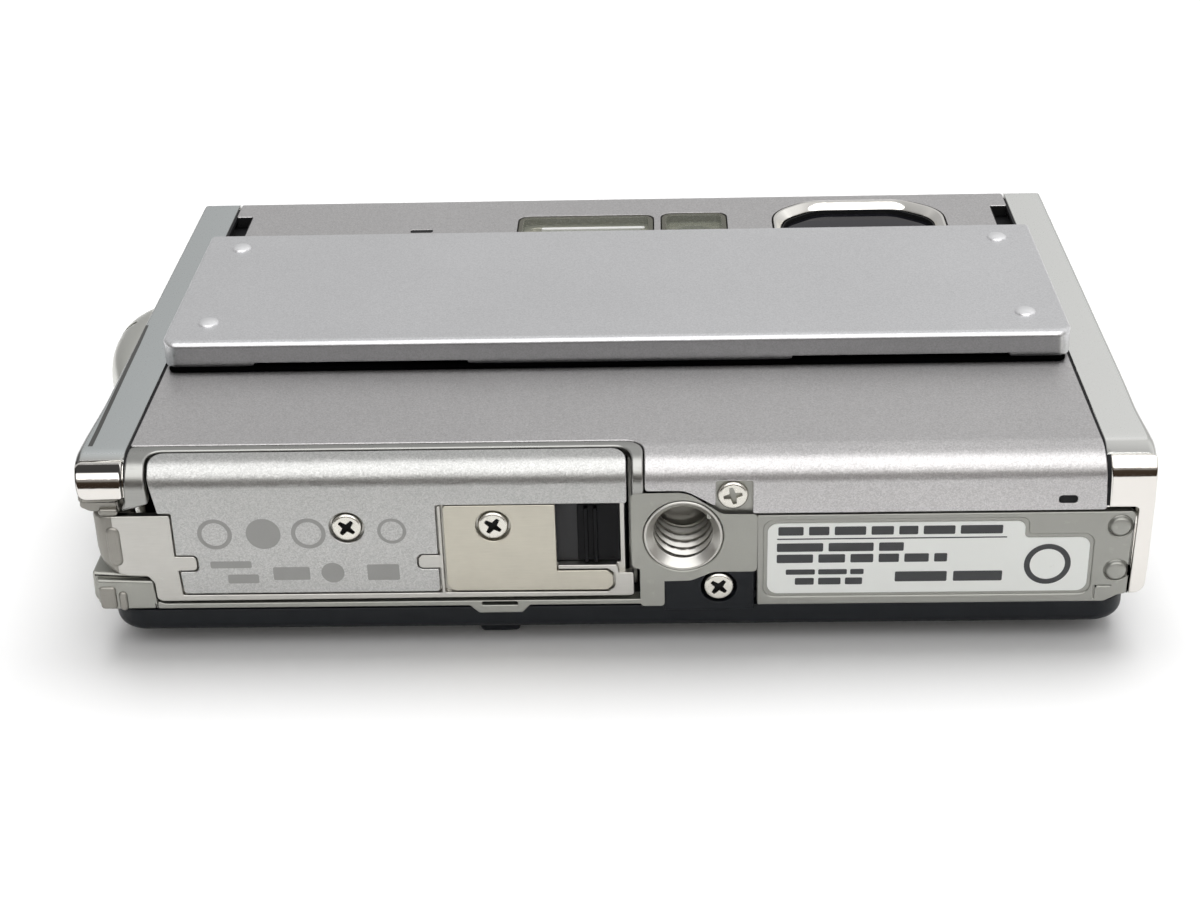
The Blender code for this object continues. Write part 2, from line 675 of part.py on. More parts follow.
def make_door_frame():
    low, high = DOOR_PLATE
    outline = [(DOOR_LEFT, -5.2), (1.2, -5.2), (1.2, -2.9), (1.7, -2.9), (1.7, 5.85), (-39.6, 5.85)]
    outline += [(-39.6, 3.7), (DOOR_LEFT, 3.7)]
    frame = prism("Z", outline, low, high)
    join(frame, box(HINGE_X, -38.2, -2.6, 3.1, 0.0, high))
    join(frame, cylinder("Y", (HINGE_X, HINGE_Z), KNUCKLE, -2.6, 3.1))
    join(frame, box(-39.6, 1.7, 5.5, 5.85, 0.0, high))
    join(frame, box(0.25, 1.7, 3.6, 5.85, 0.0, high))
    cut(frame, cylinder("Y", (HINGE_X, HINGE_Z), 0.8, -4, 4, 16))
    for screw in DOOR_SCREWS:
        cut(frame, cylinder("Z", screw, SCREW_CLEARANCE, -1, 3, 12))
    return place(frame, "door_frame", STEEL, (HINGE_X, 0.0, HINGE_Z))


def skin_section(rear, thickness):
    """Section in (y, z) of the door's painted skin: it turns up over the front bend."""
    centre = (FRONT + LOW_BEND, LOW_BEND)
    start = 180 + math.degrees(math.asin((LOW_BEND - DOOR_TOP) / LOW_BEND))
    outer = arc(centre, LOW_BEND, start, 270, 6)
    inner = arc(centre, LOW_BEND - thickness, 270, start, 6)
    return outer + [(rear, 0.0), (rear, thickness)] + inner


def make_door_skin():
    thickness = 0.6
    skin = prism("X", skin_section(-3.3, thickness), DOOR_LEFT, DOOR_RIGHT)
    join(skin, box(-37.9, -15.2, -3.6, 5.2, 0.0, thickness))
    cut(skin, cylinder("Z", DOOR_SCREWS[0], SCREW_HOLE, -1, 2))
    cut(skin, box(-38.2, -36.0, 1.3, 3.1, -1, 2))
    return place(skin, "door_skin", PAINT, (HINGE_X, 0.0, HINGE_Z))


def make_latch_plate():
    outline = [(-14.8, -3.0), (-5.0, -3.0), (-5.0, 3.2), (-1.0, 3.2), (-0.3, 3.5), (-0.05, 4.2)]
    outline += [(-0.3, 4.9), (-1.0, 5.2), (-14.8, 5.2)]
    plate = prism("Z", outline, 0.0, 0.6)
    cut(plate, cylinder("Z", DOOR_SCREWS[1], SCREW_HOLE, -1, 2))
    return place(plate, "latch_plate", LATCH, (HINGE_X, 0.0, HINGE_Z))


def make_lock_slider():
    slider = box(-2.9, 0.55, -2.8, 2.8, 0.25, 0.6)
    for rib in range(3):
        x = -2.8 + 0.65 * rib
        join(slider, box(x, x + 0.3, -2.6, 2.6, 0.05, 0.4))
    return place(slider, "lock_slider", GLOSS, (-1.2, 0.0, 0.4))


def make_door_seal():
    ring = prism("Z", rounded(-38.6, 0.9, -4.5, 5.3, 1.5), 2.45, 3.2)
    cut(ring, prism("Z", rounded(-37.6, -0.1, -3.5, 4.3, 0.8), 2, 4))
    return place(ring, "door_seal", RUBBER, (HINGE_X, 0.0, HINGE_Z))


def make_screw(name, centre, tip, pivot=(0.0, 0.0, 0.0)):
    """Cross-recessed screw with its head's face near the base plane and its shank up to the tip."""
    head_top = 0.6
    profile = [(0.1, SCREW_HEAD - 0.15), (0.2, SCREW_HEAD), (head_top, SCREW_HEAD)]
    screw = turned("Z", centre, profile, 20)
    join(screw, cylinder("Z", centre, SCREW_SHANK, head_top - 0.1, tip, 12))
    x, y = centre
    reach, half_width, floor = 0.75, 0.2, 0.4
    recess = box(x - reach, x + reach, y - half_width, y + half_width, -1, floor)
    join(recess, box(x - half_width, x + half_width, y - reach, y + reach, -1, floor))
    return place(cut(screw, recess), name, STEEL, pivot)


# ---------------------------------------------------------------- inside the body


def make_main_board():
    upper = (46.6, 57.4)
    board = box(-42.0, 16.8, 3.6, 4.6, *upper)
    return place(join(board, box(3.5, 16.8, 3.6, 4.6, 10.0, upper[0] + 1)), "main_board", BOARD)


def make_card_socket():
    left, right, front, rear, _, top = CARD
    socket = box(left - 1.0, right + 1.0, 2.5, 5.5, 12.0, top + 1.2)
    cut(socket, box(left - GAP, right + GAP, front - GAP, rear + GAP, 11.0, top + 0.5))
    return place(socket, "card_socket", STEEL)


def make_inner_pieces():
    place(box(*BATTERY), "battery", BATTERY_WRAP)
    place(box(*CARD), "memory_card", BLACK)
    make_card_socket()
    make_main_board()
    place(cylinder("Z", (10.0, -1.0), 3.6, 14.0, 40.0, 16), "flash_capacitor", BLACK)
    place(turned("Y", (-31.0, 52.2), [(-4.6, 5.0), (-2.6, 5.0), (-2.2, 4.0)], 20), "speaker", BLACK)
    place(cylinder("Y", MICROPHONE, 1.9, -6.5, -4.2, 16), "microphone", STEEL)


def make_port():
    hinge_x, hinge_y = PORT_HINGE
    front, rear, low, high = PORT
    inside = (low + GAP, high - GAP)
    pivot = (hinge_x, hinge_y, low)
    cover = box(44.95, 45.75, front + GAP, hinge_y, *inside)
    join(cover, cylinder("Z", PORT_HINGE, 0.85, *inside, 16))
    cut(cover, cylinder("Z", PORT_HINGE, 0.58, low - 1, high + 1, 12))
    place(cover, "port_cover", TRIM, pivot)
    place(cylinder("Z", PORT_HINGE, 0.28, low - 0.9, high + 0.9, 12), "port_hinge_pin", STEEL)
    connector = box(37.0, 44.3, -3.0, 2.1, 24.0, 38.0)
    cut(connector, box(39.0, 45.0, -2.4, 1.5, 24.8, 37.2))
    join(connector, box(38.5, 43.6, -0.9, 0.1, 26.0, 36.0))
    place(connector, "port_connector", STEEL)


# ---------------------------------------------------------------- assembly

clear_scene()
root = bpy.data.objects.new("camera_root", None)
bpy.context.scene.collection.objects.link(root)
root.location = ORIGIN * MM

PAINT = make_material("satin_silver_paint", (0.62, 0.62, 0.64), 0.36, 0.75)
TRIM = make_material("bright_side_trim", (0.72, 0.74, 0.76), 0.2, 1.0)
CHROME = make_material("lens_chrome", (0.85, 0.85, 0.86), 0.08, 1.0)
STEEL = make_material("stainless_steel", (0.62, 0.61, 0.58), 0.3, 1.0)
LATCH = make_material("latch_steel", (0.66, 0.63, 0.57), 0.32, 1.0)
CASTING = make_material("grey_casting", (0.5, 0.51, 0.5), 0.42, 0.9)
CASE = make_material("dark_rear_plastic", (0.03, 0.035, 0.045), 0.4, 0.0)
GLOSS = make_material("black_slider_plastic", (0.012, 0.013, 0.016), 0.15, 0.0)
BLACK = make_material("black_parts", (0.02, 0.02, 0.02), 0.5, 0.0)
CLEAR = make_material("clear_window", (0.8, 0.84, 0.82), 0.05, 0.0, 0.35)
DARK_GLASS = make_material("dark_glass", (0.02, 0.022, 0.03), 0.05, 0.0)
SILVERED = make_material("silvered_reflector", (0.8, 0.8, 0.8), 0.15, 1.0)
LABEL = make_material("white_label", (0.84, 0.85, 0.83), 0.35, 0.0)
RUBBER = make_material("grey_rubber", (0.08, 0.08, 0.085), 0.8, 0.0)
BOARD = make_material("green_board", (0.02, 0.12, 0.05), 0.5, 0.0)
BATTERY_WRAP = make_material("battery_wrap", (0.09, 0.1, 0.11), 0.45, 0.0)

make_front_panel()
make_left_trim()
make_right_trim()
make_top_cover()
make_bottom_plate()
make_rating_label()
make_chassis()
make_tripod_socket()
make_slide_cover()
place(cover_shoe(-1), "cover_shoe_left", BLACK)
place(cover_shoe(1), "cover_shoe_right", BLACK)
make_lens_ring()
make_lens_window()
make_flash()
make_lamp()
make_optics()
make_rear_case()
make_mode_dial()
make_zoom_rocker()
round_button("menu_button", COLUMN_X - BUTTON_REACH, UPPER_BUTTONS_Z)
round_button("playback_button", COLUMN_X + BUTTON_REACH, UPPER_BUTTONS_Z)
round_button("display_button", COLUMN_X - BUTTON_REACH, LOWER_BUTTONS_Z)
round_button("erase_button", COLUMN_X + BUTTON_REACH, LOWER_BUTTONS_Z)
make_arrow_pad()
make_lcd()
top_button("shutter_button", SHUTTER, 61.4, 1.5, 57.7)
top_button("power_button", POWER, 61.3, 1.0, 57.9)
make_door_frame()
make_door_skin()
make_latch_plate()
make_lock_slider()
make_door_seal()
place(cylinder("Y", (HINGE_X, HINGE_Z), 0.5, -3.9, 6.4, 16), "hinge_pin", STEEL)
for number, door_screw in enumerate(DOOR_SCREWS, 1):
    make_screw(f"door_screw_{number}", door_screw, 2.6, (HINGE_X, 0.0, HINGE_Z))
make_screw("body_screw_1", PANEL_SCREW, 3.2)
make_screw("body_screw_2", CASE_SCREW, 3.2)
make_inner_pieces()
make_port()
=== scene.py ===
"""Looks of the compact digital camera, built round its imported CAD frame.

Pieces are drawn in millimetres in the camera's own frame: x to the right seen from the
front, y from the lens side to the rear, z up from the middle of the body's base. Each
piece is then moved to the row frame, in metres, and rides on the CAD body it belongs to.
"""

import math
import random

import bmesh
import bpy
from mathutils import Matrix, Vector, geometry


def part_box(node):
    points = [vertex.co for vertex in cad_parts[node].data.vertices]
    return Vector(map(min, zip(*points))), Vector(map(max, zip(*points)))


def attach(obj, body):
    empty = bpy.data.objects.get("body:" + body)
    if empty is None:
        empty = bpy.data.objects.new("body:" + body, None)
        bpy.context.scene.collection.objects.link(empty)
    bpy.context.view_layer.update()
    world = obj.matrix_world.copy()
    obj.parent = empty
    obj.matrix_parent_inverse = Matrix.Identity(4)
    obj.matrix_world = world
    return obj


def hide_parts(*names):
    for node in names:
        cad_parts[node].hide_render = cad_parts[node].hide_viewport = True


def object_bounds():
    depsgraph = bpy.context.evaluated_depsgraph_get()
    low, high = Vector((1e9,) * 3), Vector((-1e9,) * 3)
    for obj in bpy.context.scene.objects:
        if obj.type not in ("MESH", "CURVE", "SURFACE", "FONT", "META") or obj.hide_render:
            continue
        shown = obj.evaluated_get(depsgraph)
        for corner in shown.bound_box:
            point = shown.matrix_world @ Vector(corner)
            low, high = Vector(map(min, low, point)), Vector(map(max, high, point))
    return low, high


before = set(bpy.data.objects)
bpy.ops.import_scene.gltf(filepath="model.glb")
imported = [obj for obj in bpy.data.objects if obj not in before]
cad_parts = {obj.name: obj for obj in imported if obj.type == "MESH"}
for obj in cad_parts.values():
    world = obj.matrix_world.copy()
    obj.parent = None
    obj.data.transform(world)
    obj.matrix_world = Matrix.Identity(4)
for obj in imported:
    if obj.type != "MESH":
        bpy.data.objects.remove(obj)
cad_low, cad_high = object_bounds()

MM = 0.001
NORMAL = "drawn_normal"


# ------------------------------------------------------------ places from the CAD frame


def middle(node, axis):
    low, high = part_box(node)
    return (low[axis] + high[axis]) / 2


# The middle of the body's base, with y counted from the middle of the lens groups.
ORIGIN = Vector((middle("front_panel", 0), middle("zoom_lens_group", 1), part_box("front_panel")[0].z))


class Span:
    """Box of a CAD node, in millimetres in the drawing frame."""

    def __init__(self, node):
        low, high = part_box(node)
        self.left, self.front, self.low = (low - ORIGIN) / MM
        self.right, self.rear, self.high = (high - ORIGIN) / MM
        self.x = (self.left + self.right) / 2
        self.y = (self.front + self.rear) / 2
        self.z = (self.low + self.high) / 2

    def xy(self, grow=0.0, grow_y=None):
        """Sides of the box seen from below, each moved outward."""
        more = grow if grow_y is None else grow_y
        return self.left - grow, self.right + grow, self.front - more, self.rear + more

    def xz(self, grow=0.0, grow_z=None):
        """Sides of the box seen from the front, each moved outward."""
        more = grow if grow_z is None else grow_z
        return self.left - grow, self.right + grow, self.low - more, self.high + more


PANEL = Span("front_panel")
COVER = Span("slide_cover")
RIGHT_TRIM = Span("right_side_trim")
LEFT_TRIM = Span("left_side_trim")
TOP_COVER = Span("top_cover")
LABEL = Span("rating_label")
SOCKET = Span("tripod_socket")
SKIN = Span("door_skin")
DOOR = Span("door_frame")
SLIDER = Span("lock_slider")
SEAL = Span("door_seal")
PIN = Span("hinge_pin")
CASE = Span("rear_case")
LCD = Span("lcd_window")
DIAL = Span("mode_dial")
ROCKER = Span("zoom_rocker")
PAD = Span("arrow_pad")
OK = Span("ok_button")
RING = Span("lens_ring")
FLASH = Span("flash_window")
LAMP = Span("lamp_window")
SHUTTER = Span("shutter_button")
POWER = Span("power_button")
PORT = Span("port_cover")
BATTERY = Span("battery")
CARD = Span("memory_card")

LOW_BEND = 2.7  # radius between the front and the base
HIGH_BEND = 2.2
SHEET = 0.8
RIM_TOP = 3.15
DOOR_TOP = SKIN.high
SHARP_ANGLE = 32  # degrees between two faces from which their edge stays sharp


# ------------------------------------------------------------ outlines


def outline(corners, steps=6):
    """Points and outward normals round (a, b, radius) corners, drawn anticlockwise."""
    loop = []
    count = len(corners)
    for index, (a, b, radius) in enumerate(corners):
        here = Vector((a, b))
        back = (Vector(corners[index - 1][:2]) - here).normalized()
        ahead = (Vector(corners[(index + 1) % count][:2]) - here).normalized()
        turn = back.x * ahead.y - back.y * ahead.x
        if abs(turn) < 0.02:
            loop.append((here, Vector((ahead.y, -ahead.x))))
            continue
        half = back.angle(ahead) / 2
        centre = here + (back + ahead).normalized() * (radius / math.sin(half))
        reach = radius / math.tan(half)
        start = here + back * reach - centre
        end = here + ahead * reach - centre
        first = math.atan2(start.y, start.x)
        sweep = math.remainder(math.atan2(end.y, end.x) - first, math.tau)
        outward = 1 if sweep > 0 else -1
        pieces = max(2, math.ceil(steps * abs(sweep) / (math.pi / 2)))
        for k in range(pieces + 1):
            angle = first + sweep * k / pieces
            ray = Vector((math.cos(angle), math.sin(angle)))
            loop.append((centre + ray * radius, ray * outward))
    return loop


def rectangle(a0, a1, b0, b1, radius=0.2, steps=6):
    radii = radius if isinstance(radius, tuple) else (radius,) * 4
    places = ((a0, b0), (a1, b0), (a1, b1), (a0, b1))
    return outline([(a, b, r) for (a, b), r in zip(places, radii)], steps)


def circle(centre, radius, sides=48):
    loop = []
    for k in range(sides):
        ray = Vector((math.cos(math.tau * k / sides), math.sin(math.tau * k / sides)))
        loop.append((Vector(centre) + ray * radius, ray))
    return loop


def hole(loop):
    """The same outline as the edge of an opening: its normals point out of the material."""
    return [(point, -normal) for point, normal in reversed(loop)]


# ------------------------------------------------------------ mesh drawing


def new_shape():
    bm = bmesh.new()
    bm.verts.layers.float_vector.new(NORMAL)
    return bm


def on_axis(axis, a, b, depth):
    return {"X": (depth, a, b), "Y": (a, depth, b), "Z": (a, b, depth)}[axis]


def add_vert(bm, place, normal=(0.0, 0.0, 0.0)):
    vert = bm.verts.new(place)
    vert[bm.verts.layers.float_vector[NORMAL]] = normal
    return vert


def bridge(bm, first, second):
    count = len(first)
    for i in range(count):
        j = (i + 1) % count
        bm.faces.new((first[i], first[j], second[j], second[i]))


def cap(bm, rings):
    """Closes an outline and the holes in it with triangles."""
    flat = [vert for ring, _ in rings for vert in ring]
    triangles = geometry.tessellate_polygon([[Vector((a, b, 0)) for a, b in points] for _, points in rings])
    for triangle in triangles:
        bm.faces.new([flat[i] for i in triangle])


def edge_profile(low, high, soft_low, soft_high, steps):
    """(inset, depth, sideways share, depth share of the normal) from the low face to the high one."""
    profile = []
    for face, soft, sign in ((low, soft_low, 1), (high, soft_high, -1)):
        for k in range(steps + 1)[::sign]:
            t = math.pi / 2 * k / steps
            depth = face + sign * soft * (1 - math.cos(t))
            profile.append((soft * (1 - math.sin(t)), depth, math.sin(t), -sign * math.cos(t)))
    return profile


def add_ring(bm, axis, loop, places):
    """Vertices and flat points once round an outline, with a profile's place for each of its points."""
    verts, points = [], []
    for (p, n), (inset, depth, side, along) in zip(loop, places):
        point = p - n * inset
        normal = on_axis(axis, n.x * side, n.y * side, along)
        verts.append(add_vert(bm, on_axis(axis, point.x, point.y, depth), normal))
        points.append(point)
    return verts, points


def join(bm, rings):
    for lower, upper in zip(rings, rings[1:]):
        bridge(bm, lower, upper)


def plate(bm, axis, loop, low, high, holes=(), soft=0.1, steps=3, hole_soft=None):
    """Slab between two depths, with rounded edges round its outline and its holes."""
    first, last = [], []
    for index, edge in enumerate((loop, *map(hole, holes))):
        rounding = soft if index == 0 or hole_soft is None else hole_soft
        soft_low, soft_high = rounding if isinstance(rounding, tuple) else (rounding, rounding)
        profile = edge_profile(low, high, soft_low, soft_high, steps)
        rings = [add_ring(bm, axis, edge, [place] * len(edge)) for place in profile]
        join(bm, [verts for verts, _ in rings])
        first.append(rings[0])
        last.append(rings[-1])
    cap(bm, first)
    cap(bm, last)


def tray(bm, axis, loop, face, rim, wall, soft, inner_soft=0.3, steps=6):
    """Open box: a face with rounded edges, soft(normal) wide, and a wall round it as far as the rim."""
    sign = 1 if rim > face else -1
    lip = 0.12
    ceiling = face + sign * wall
    profile = []
    for k in range(7):
        t = math.pi * k / 6
        inset = wall / 2 - (wall / 2) * math.cos(t)
        profile.append((inset, rim - sign * lip * (1 - math.sin(t)), math.cos(t), sign * math.sin(t)))
    for k in range(4):
        t = math.pi / 2 * k / 3
        depth = ceiling + sign * inner_soft * (1 - math.sin(t))
        profile.append((wall + inner_soft * (1 - math.cos(t)), depth, -math.cos(t), sign * math.sin(t)))
    rings = []
    for k in range(steps + 1):
        t = math.pi / 2 * k / steps
        row = [(soft(n) * (1 - math.sin(t)), face + sign * soft(n) * (1 - math.cos(t))) for _, n in loop]
        rings.append([(inset, depth, math.sin(t), -sign * math.cos(t)) for inset, depth in row])
    rings += [[place] * len(loop) for place in profile]
    drawn = [add_ring(bm, axis, loop, ring) for ring in rings]
    join(bm, [verts for verts, _ in drawn])
    cap(bm, [drawn[0]])
    cap(bm, [drawn[-1]])


def turned(bm, axis, centre, profile, sides=48):
    """Round body from (depth, radius) pairs, closed at both ends."""
    rings = []
    for depth, radius in profile:
        points = [p for p, _ in circle(centre, max(radius, 0.001), sides)]
        rings.append([add_vert(bm, on_axis(axis, p.x, p.y, depth)) for p in points])
    join(bm, rings)
    bm.faces.new(rings[0])
    bm.faces.new(rings[-1])


def hoop(bm, axis, loop, profile):
    """Closed ring along an outline, through (inset, depth) pairs that go once round its section."""
    rings = []
    for inset, depth in profile:
        rings.append([add_vert(bm, on_axis(axis, *(p - n * inset), depth)) for p, n in loop])
    join(bm, rings + rings[:1])


def grid_solid(bm, rings):
    """Closed body through rings of 3-D points with equal counts."""
    layers = [[add_vert(bm, point) for point in ring] for ring in rings]
    join(bm, layers)
    bm.faces.new(layers[0])
    bm.faces.new(layers[-1])


def block(bm, x0, x1, y0, y1, z0, z1, soft=0.1, radius=0.15):
    crisp = min(soft, (z1 - z0) / 2.1)
    plate(bm, "Z", rectangle(x0, x1, y0, y1, radius, 3), z0, z1, soft=crisp, steps=2)


# ------------------------------------------------------------ the bent front sheet


BEND_LENGTH = math.pi / 2 * LOW_BEND
BASE_START = PANEL.front + LOW_BEND
LOW_CUTS, HIGH_CUTS = 14, 10  # strips that each bend is drawn in


def unrolled_base(y):
    """Place along the unrolled sheet of a point on the base."""
    return BASE_START - y


def unrolled_front(z):
    """Place along the unrolled sheet of a point on the front face."""
    return z - LOW_BEND + BEND_LENGTH


def unrolled_bend(z):
    """Place along the unrolled sheet of a point at a height on the lower bend."""
    return LOW_BEND * math.acos(1 - z / LOW_BEND)


def section(s, depth):
    """(y, z) and the inward direction at a place along the sheet and a depth into it."""
    top_start = unrolled_front(PANEL.high - HIGH_BEND)
    if s <= 0:
        return (BASE_START - s, depth), (0.0, 1.0)
    if s < BEND_LENGTH:
        a = s / LOW_BEND
        y, z = BASE_START - (LOW_BEND - depth) * math.sin(a), LOW_BEND - (LOW_BEND - depth) * math.cos(a)
        return (y, z), (math.sin(a), math.cos(a))
    if s <= top_start:
        return (PANEL.front + depth, s - BEND_LENGTH + LOW_BEND), (1.0, 0.0)
    a = min((s - top_start) / HIGH_BEND, math.pi / 2)
    beyond = s - top_start - HIGH_BEND * a
    y = PANEL.front + HIGH_BEND - (HIGH_BEND - depth) * math.cos(a) + beyond
    z = PANEL.high - HIGH_BEND + (HIGH_BEND - depth) * math.sin(a)
    return (y, z), (math.cos(a), -math.sin(a))


def wrap(bm):
    """Bends a sheet drawn flat as (x, place along, depth) round the body's front."""
    top_start = unrolled_front(PANEL.high - HIGH_BEND)
    cuts = [BEND_LENGTH * k / LOW_CUTS for k in range(LOW_CUTS + 1)]
    cuts += [top_start + HIGH_BEND * math.pi / 2 * k / HIGH_CUTS for k in range(HIGH_CUTS + 1)]
    for s in cuts:
        everything = bm.verts[:] + bm.edges[:] + bm.faces[:]
        bmesh.ops.bisect_plane(bm, geom=everything, dist=1e-4, plane_co=(0, s, 0), plane_no=(0, 1, 0))
    layer = bm.verts.layers.float_vector[NORMAL]
    for vert in bm.verts:
        (y, z), (in_y, in_z) = section(vert.co.y, vert.co.z)
        n = vert[layer]
        # Along the sheet is the inward direction turned a quarter.
        normal = Vector((n.x, n.z * in_y - n.y * in_z, n.z * in_z + n.y * in_y))
        vert[layer] = normal.normalized() if normal.length > 0.01 else normal
        vert.co = (vert.co.x, y, z)


# ------------------------------------------------------------ making pieces


def piece(bm, name, material, stands_for=(), body="camera_body", angle=SHARP_ANGLE):
    """Turns a drawn mesh into a shown piece that rides on a CAD body."""
    bmesh.ops.remove_doubles(bm, verts=bm.verts, dist=2e-5)
    bmesh.ops.dissolve_degenerate(bm, edges=bm.edges, dist=1e-5)
    bmesh.ops.recalc_face_normals(bm, faces=bm.faces)
    layer = bm.verts.layers.float_vector[NORMAL]
    normals = [Vector(v[layer]) for v in bm.verts]
    bm.verts.layers.float_vector.remove(layer)
    bm.transform(Matrix.Translation(ORIGIN) @ Matrix.Scale(MM, 4))
    mesh = bpy.data.meshes.new(name)
    bm.to_mesh(mesh)
    bm.free()
    mesh.shade_smooth()
    mesh.set_sharp_from_angle(angle=math.radians(angle))
    if any(n.length > 0.5 for n in normals):
        mesh.normals_split_custom_set_from_vertices([n if n.length > 0.5 else Vector() for n in normals])
    for made in material if isinstance(material, tuple) else (material,):
        mesh.materials.append(made)
    obj = bpy.data.objects.new(name, mesh)
    bpy.context.scene.collection.objects.link(obj)
    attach(obj, body)
    if stands_for:
        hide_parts(*stands_for)
    return obj


def carve(obj, *cutters):
    """Cuts finished pieces out of a finished piece and removes them."""
    for cutter in cutters:
        modifier = obj.modifiers.new("cut", "BOOLEAN")
        modifier.operation = "DIFFERENCE"
        modifier.solver = "EXACT"
        modifier.object = cutter
        graph = bpy.context.evaluated_depsgraph_get()
        mesh = bpy.data.meshes.new_from_object(obj.evaluated_get(graph))
        obj.modifiers.remove(modifier)
        mesh.set_sharp_from_angle(angle=math.radians(SHARP_ANGLE))
        obj.data = mesh
        bpy.data.objects.remove(cutter, do_unlink=True)


# ------------------------------------------------------------ materials


class Nodes:
    """A Principled material and short calls for the nodes that feed it."""

    def __init__(self, name, color, metallic, roughness):
        self.material = bpy.data.materials.new(name)
        self.material.use_nodes = True
        self.tree = self.material.node_tree
        self.shader = self.tree.nodes["Principled BSDF"]
        self.set("Base Color", (*color, 1.0))
        self.set("Metallic", metallic)
        self.set("Roughness", roughness)
        self.material.diffuse_color = (*color, 1.0)
        self.coords = self.add("ShaderNodeTexCoord")

    def add(self, kind, **settings):
        node = self.tree.nodes.new(kind)
        for key, value in settings.items():
            setattr(node, key, value)
        return node

    def link(self, output, target):
        self.tree.links.new(output, target)

    def set(self, socket, value):
        target = self.shader.inputs[socket]
        if hasattr(value, "node"):
            self.link(value, target)
        else:
            target.default_value = value

    def place(self, stretch=(1, 1, 1)):
        """Coordinates in millimetres, stretched along an axis by a number below one."""
        mapping = self.add("ShaderNodeMapping")
        mapping.inputs["Scale"].default_value = [s / MM for s in stretch]
        self.link(self.coords.outputs["Object"], mapping.inputs["Vector"])
        return mapping.outputs["Vector"]

    def noise(self, per_mm, detail=3.0, stretch=(1, 1, 1), rough=0.55):
        node = self.add("ShaderNodeTexNoise")
        node.inputs["Scale"].default_value = per_mm
        node.inputs["Detail"].default_value = detail
        node.inputs["Roughness"].default_value = rough
        self.link(self.place(stretch), node.inputs["Vector"])
        return node.outputs["Fac"]

    def flakes(self, per_mm):
        node = self.add("ShaderNodeTexVoronoi")
        node.inputs["Scale"].default_value = per_mm
        self.link(self.place(), node.inputs["Vector"])
        return node.outputs["Color"]

    def facets(self, cells, strength):
        """Normal tilted at random in each cell, as a metal flake lies."""
        centred = self.add("ShaderNodeVectorMath", operation="SUBTRACT")
        self.link(cells, centred.inputs[0])
        centred.inputs[1].default_value = (0.5, 0.5, 0.5)
        scaled = self.add("ShaderNodeVectorMath", operation="SCALE")
        self.link(centred.outputs["Vector"], scaled.inputs[0])
        scaled.inputs["Scale"].default_value = strength
        surface = self.add("ShaderNodeNewGeometry")
        tilted = self.add("ShaderNodeVectorMath", operation="ADD")
        self.link(scaled.outputs["Vector"], tilted.inputs[0])
        self.link(surface.outputs["Normal"], tilted.inputs[1])
        unit = self.add("ShaderNodeVectorMath", operation="NORMALIZE")
        self.link(tilted.outputs["Vector"], unit.inputs[0])
        return unit.outputs["Vector"]

    def ramp(self, value, *stops):
        """Color ramp from (position, grey or colour) stops."""
        node = self.add("ShaderNodeValToRGB")
        while len(node.color_ramp.elements) < len(stops):
            node.color_ramp.elements.new(0.5)
        for element, (position, color) in zip(node.color_ramp.elements, stops):
            element.position = position
            grey = isinstance(color, (int, float))
            element.color = (color, color, color, 1) if grey else (*color, 1)
        self.link(value, node.inputs["Fac"])
        return node.outputs["Color"]

    def spread(self, value, low, high):
        """The value, from 0 to 1, carried to a range."""
        node = self.add("ShaderNodeMapRange")
        self.link(value, node.inputs["Value"])
        node.inputs["To Min"].default_value = low
        node.inputs["To Max"].default_value = high
        return node.outputs["Result"]

    def math(self, operation, a, b=0.0):
        node = self.add("ShaderNodeMath", operation=operation)
        for socket, value in zip(node.inputs, (a, b)):
            if hasattr(value, "node"):
                self.link(value, socket)
            else:
                socket.default_value = value
        return node.outputs["Value"]

    def mix(self, factor, first, second, blend="MIX"):
        node = self.add("ShaderNodeMix", data_type="RGBA", blend_type=blend)
        for socket, value in ((node.inputs[0], factor), (node.inputs[6], first), (node.inputs[7], second)):
            if hasattr(value, "node"):
                self.link(value, socket)
            elif isinstance(value, tuple):
                socket.default_value = (*value, 1.0)
            else:
                socket.default_value = value
        return node.outputs[2]

    def bump(self, height, distance):
        """Relief of a height in millimetres."""
        node = self.add("ShaderNodeBump")
        node.inputs["Strength"].default_value = 1.0
        node.inputs["Distance"].default_value = distance * MM
        self.link(height, node.inputs["Height"])
        return node.outputs["Normal"]

    def facing(self):
        """The three parts of the piece's own normal."""
        split = self.add("ShaderNodeSeparateXYZ")
        self.link(self.coords.outputs["Normal"], split.inputs["Vector"])
        return split.outputs

    def share(self, value, low, high, start=0.0, end=1.0):
        """Smooth step from start to end while the value goes from low to high."""
        node = self.add("ShaderNodeMapRange", interpolation_type="SMOOTHSTEP")
        self.link(value, node.inputs["Value"])
        for socket, number in zip(("From Min", "From Max", "To Min", "To Max"), (low, high, start, end)):
            node.inputs[socket].default_value = number
        return node.outputs["Result"]

    def shaded(self, color, shade):
        """The colour times a grey value."""
        return self.mix(1.0, color, self.mix(1.0, (1, 1, 1), shade, "MULTIPLY"), "MULTIPLY")


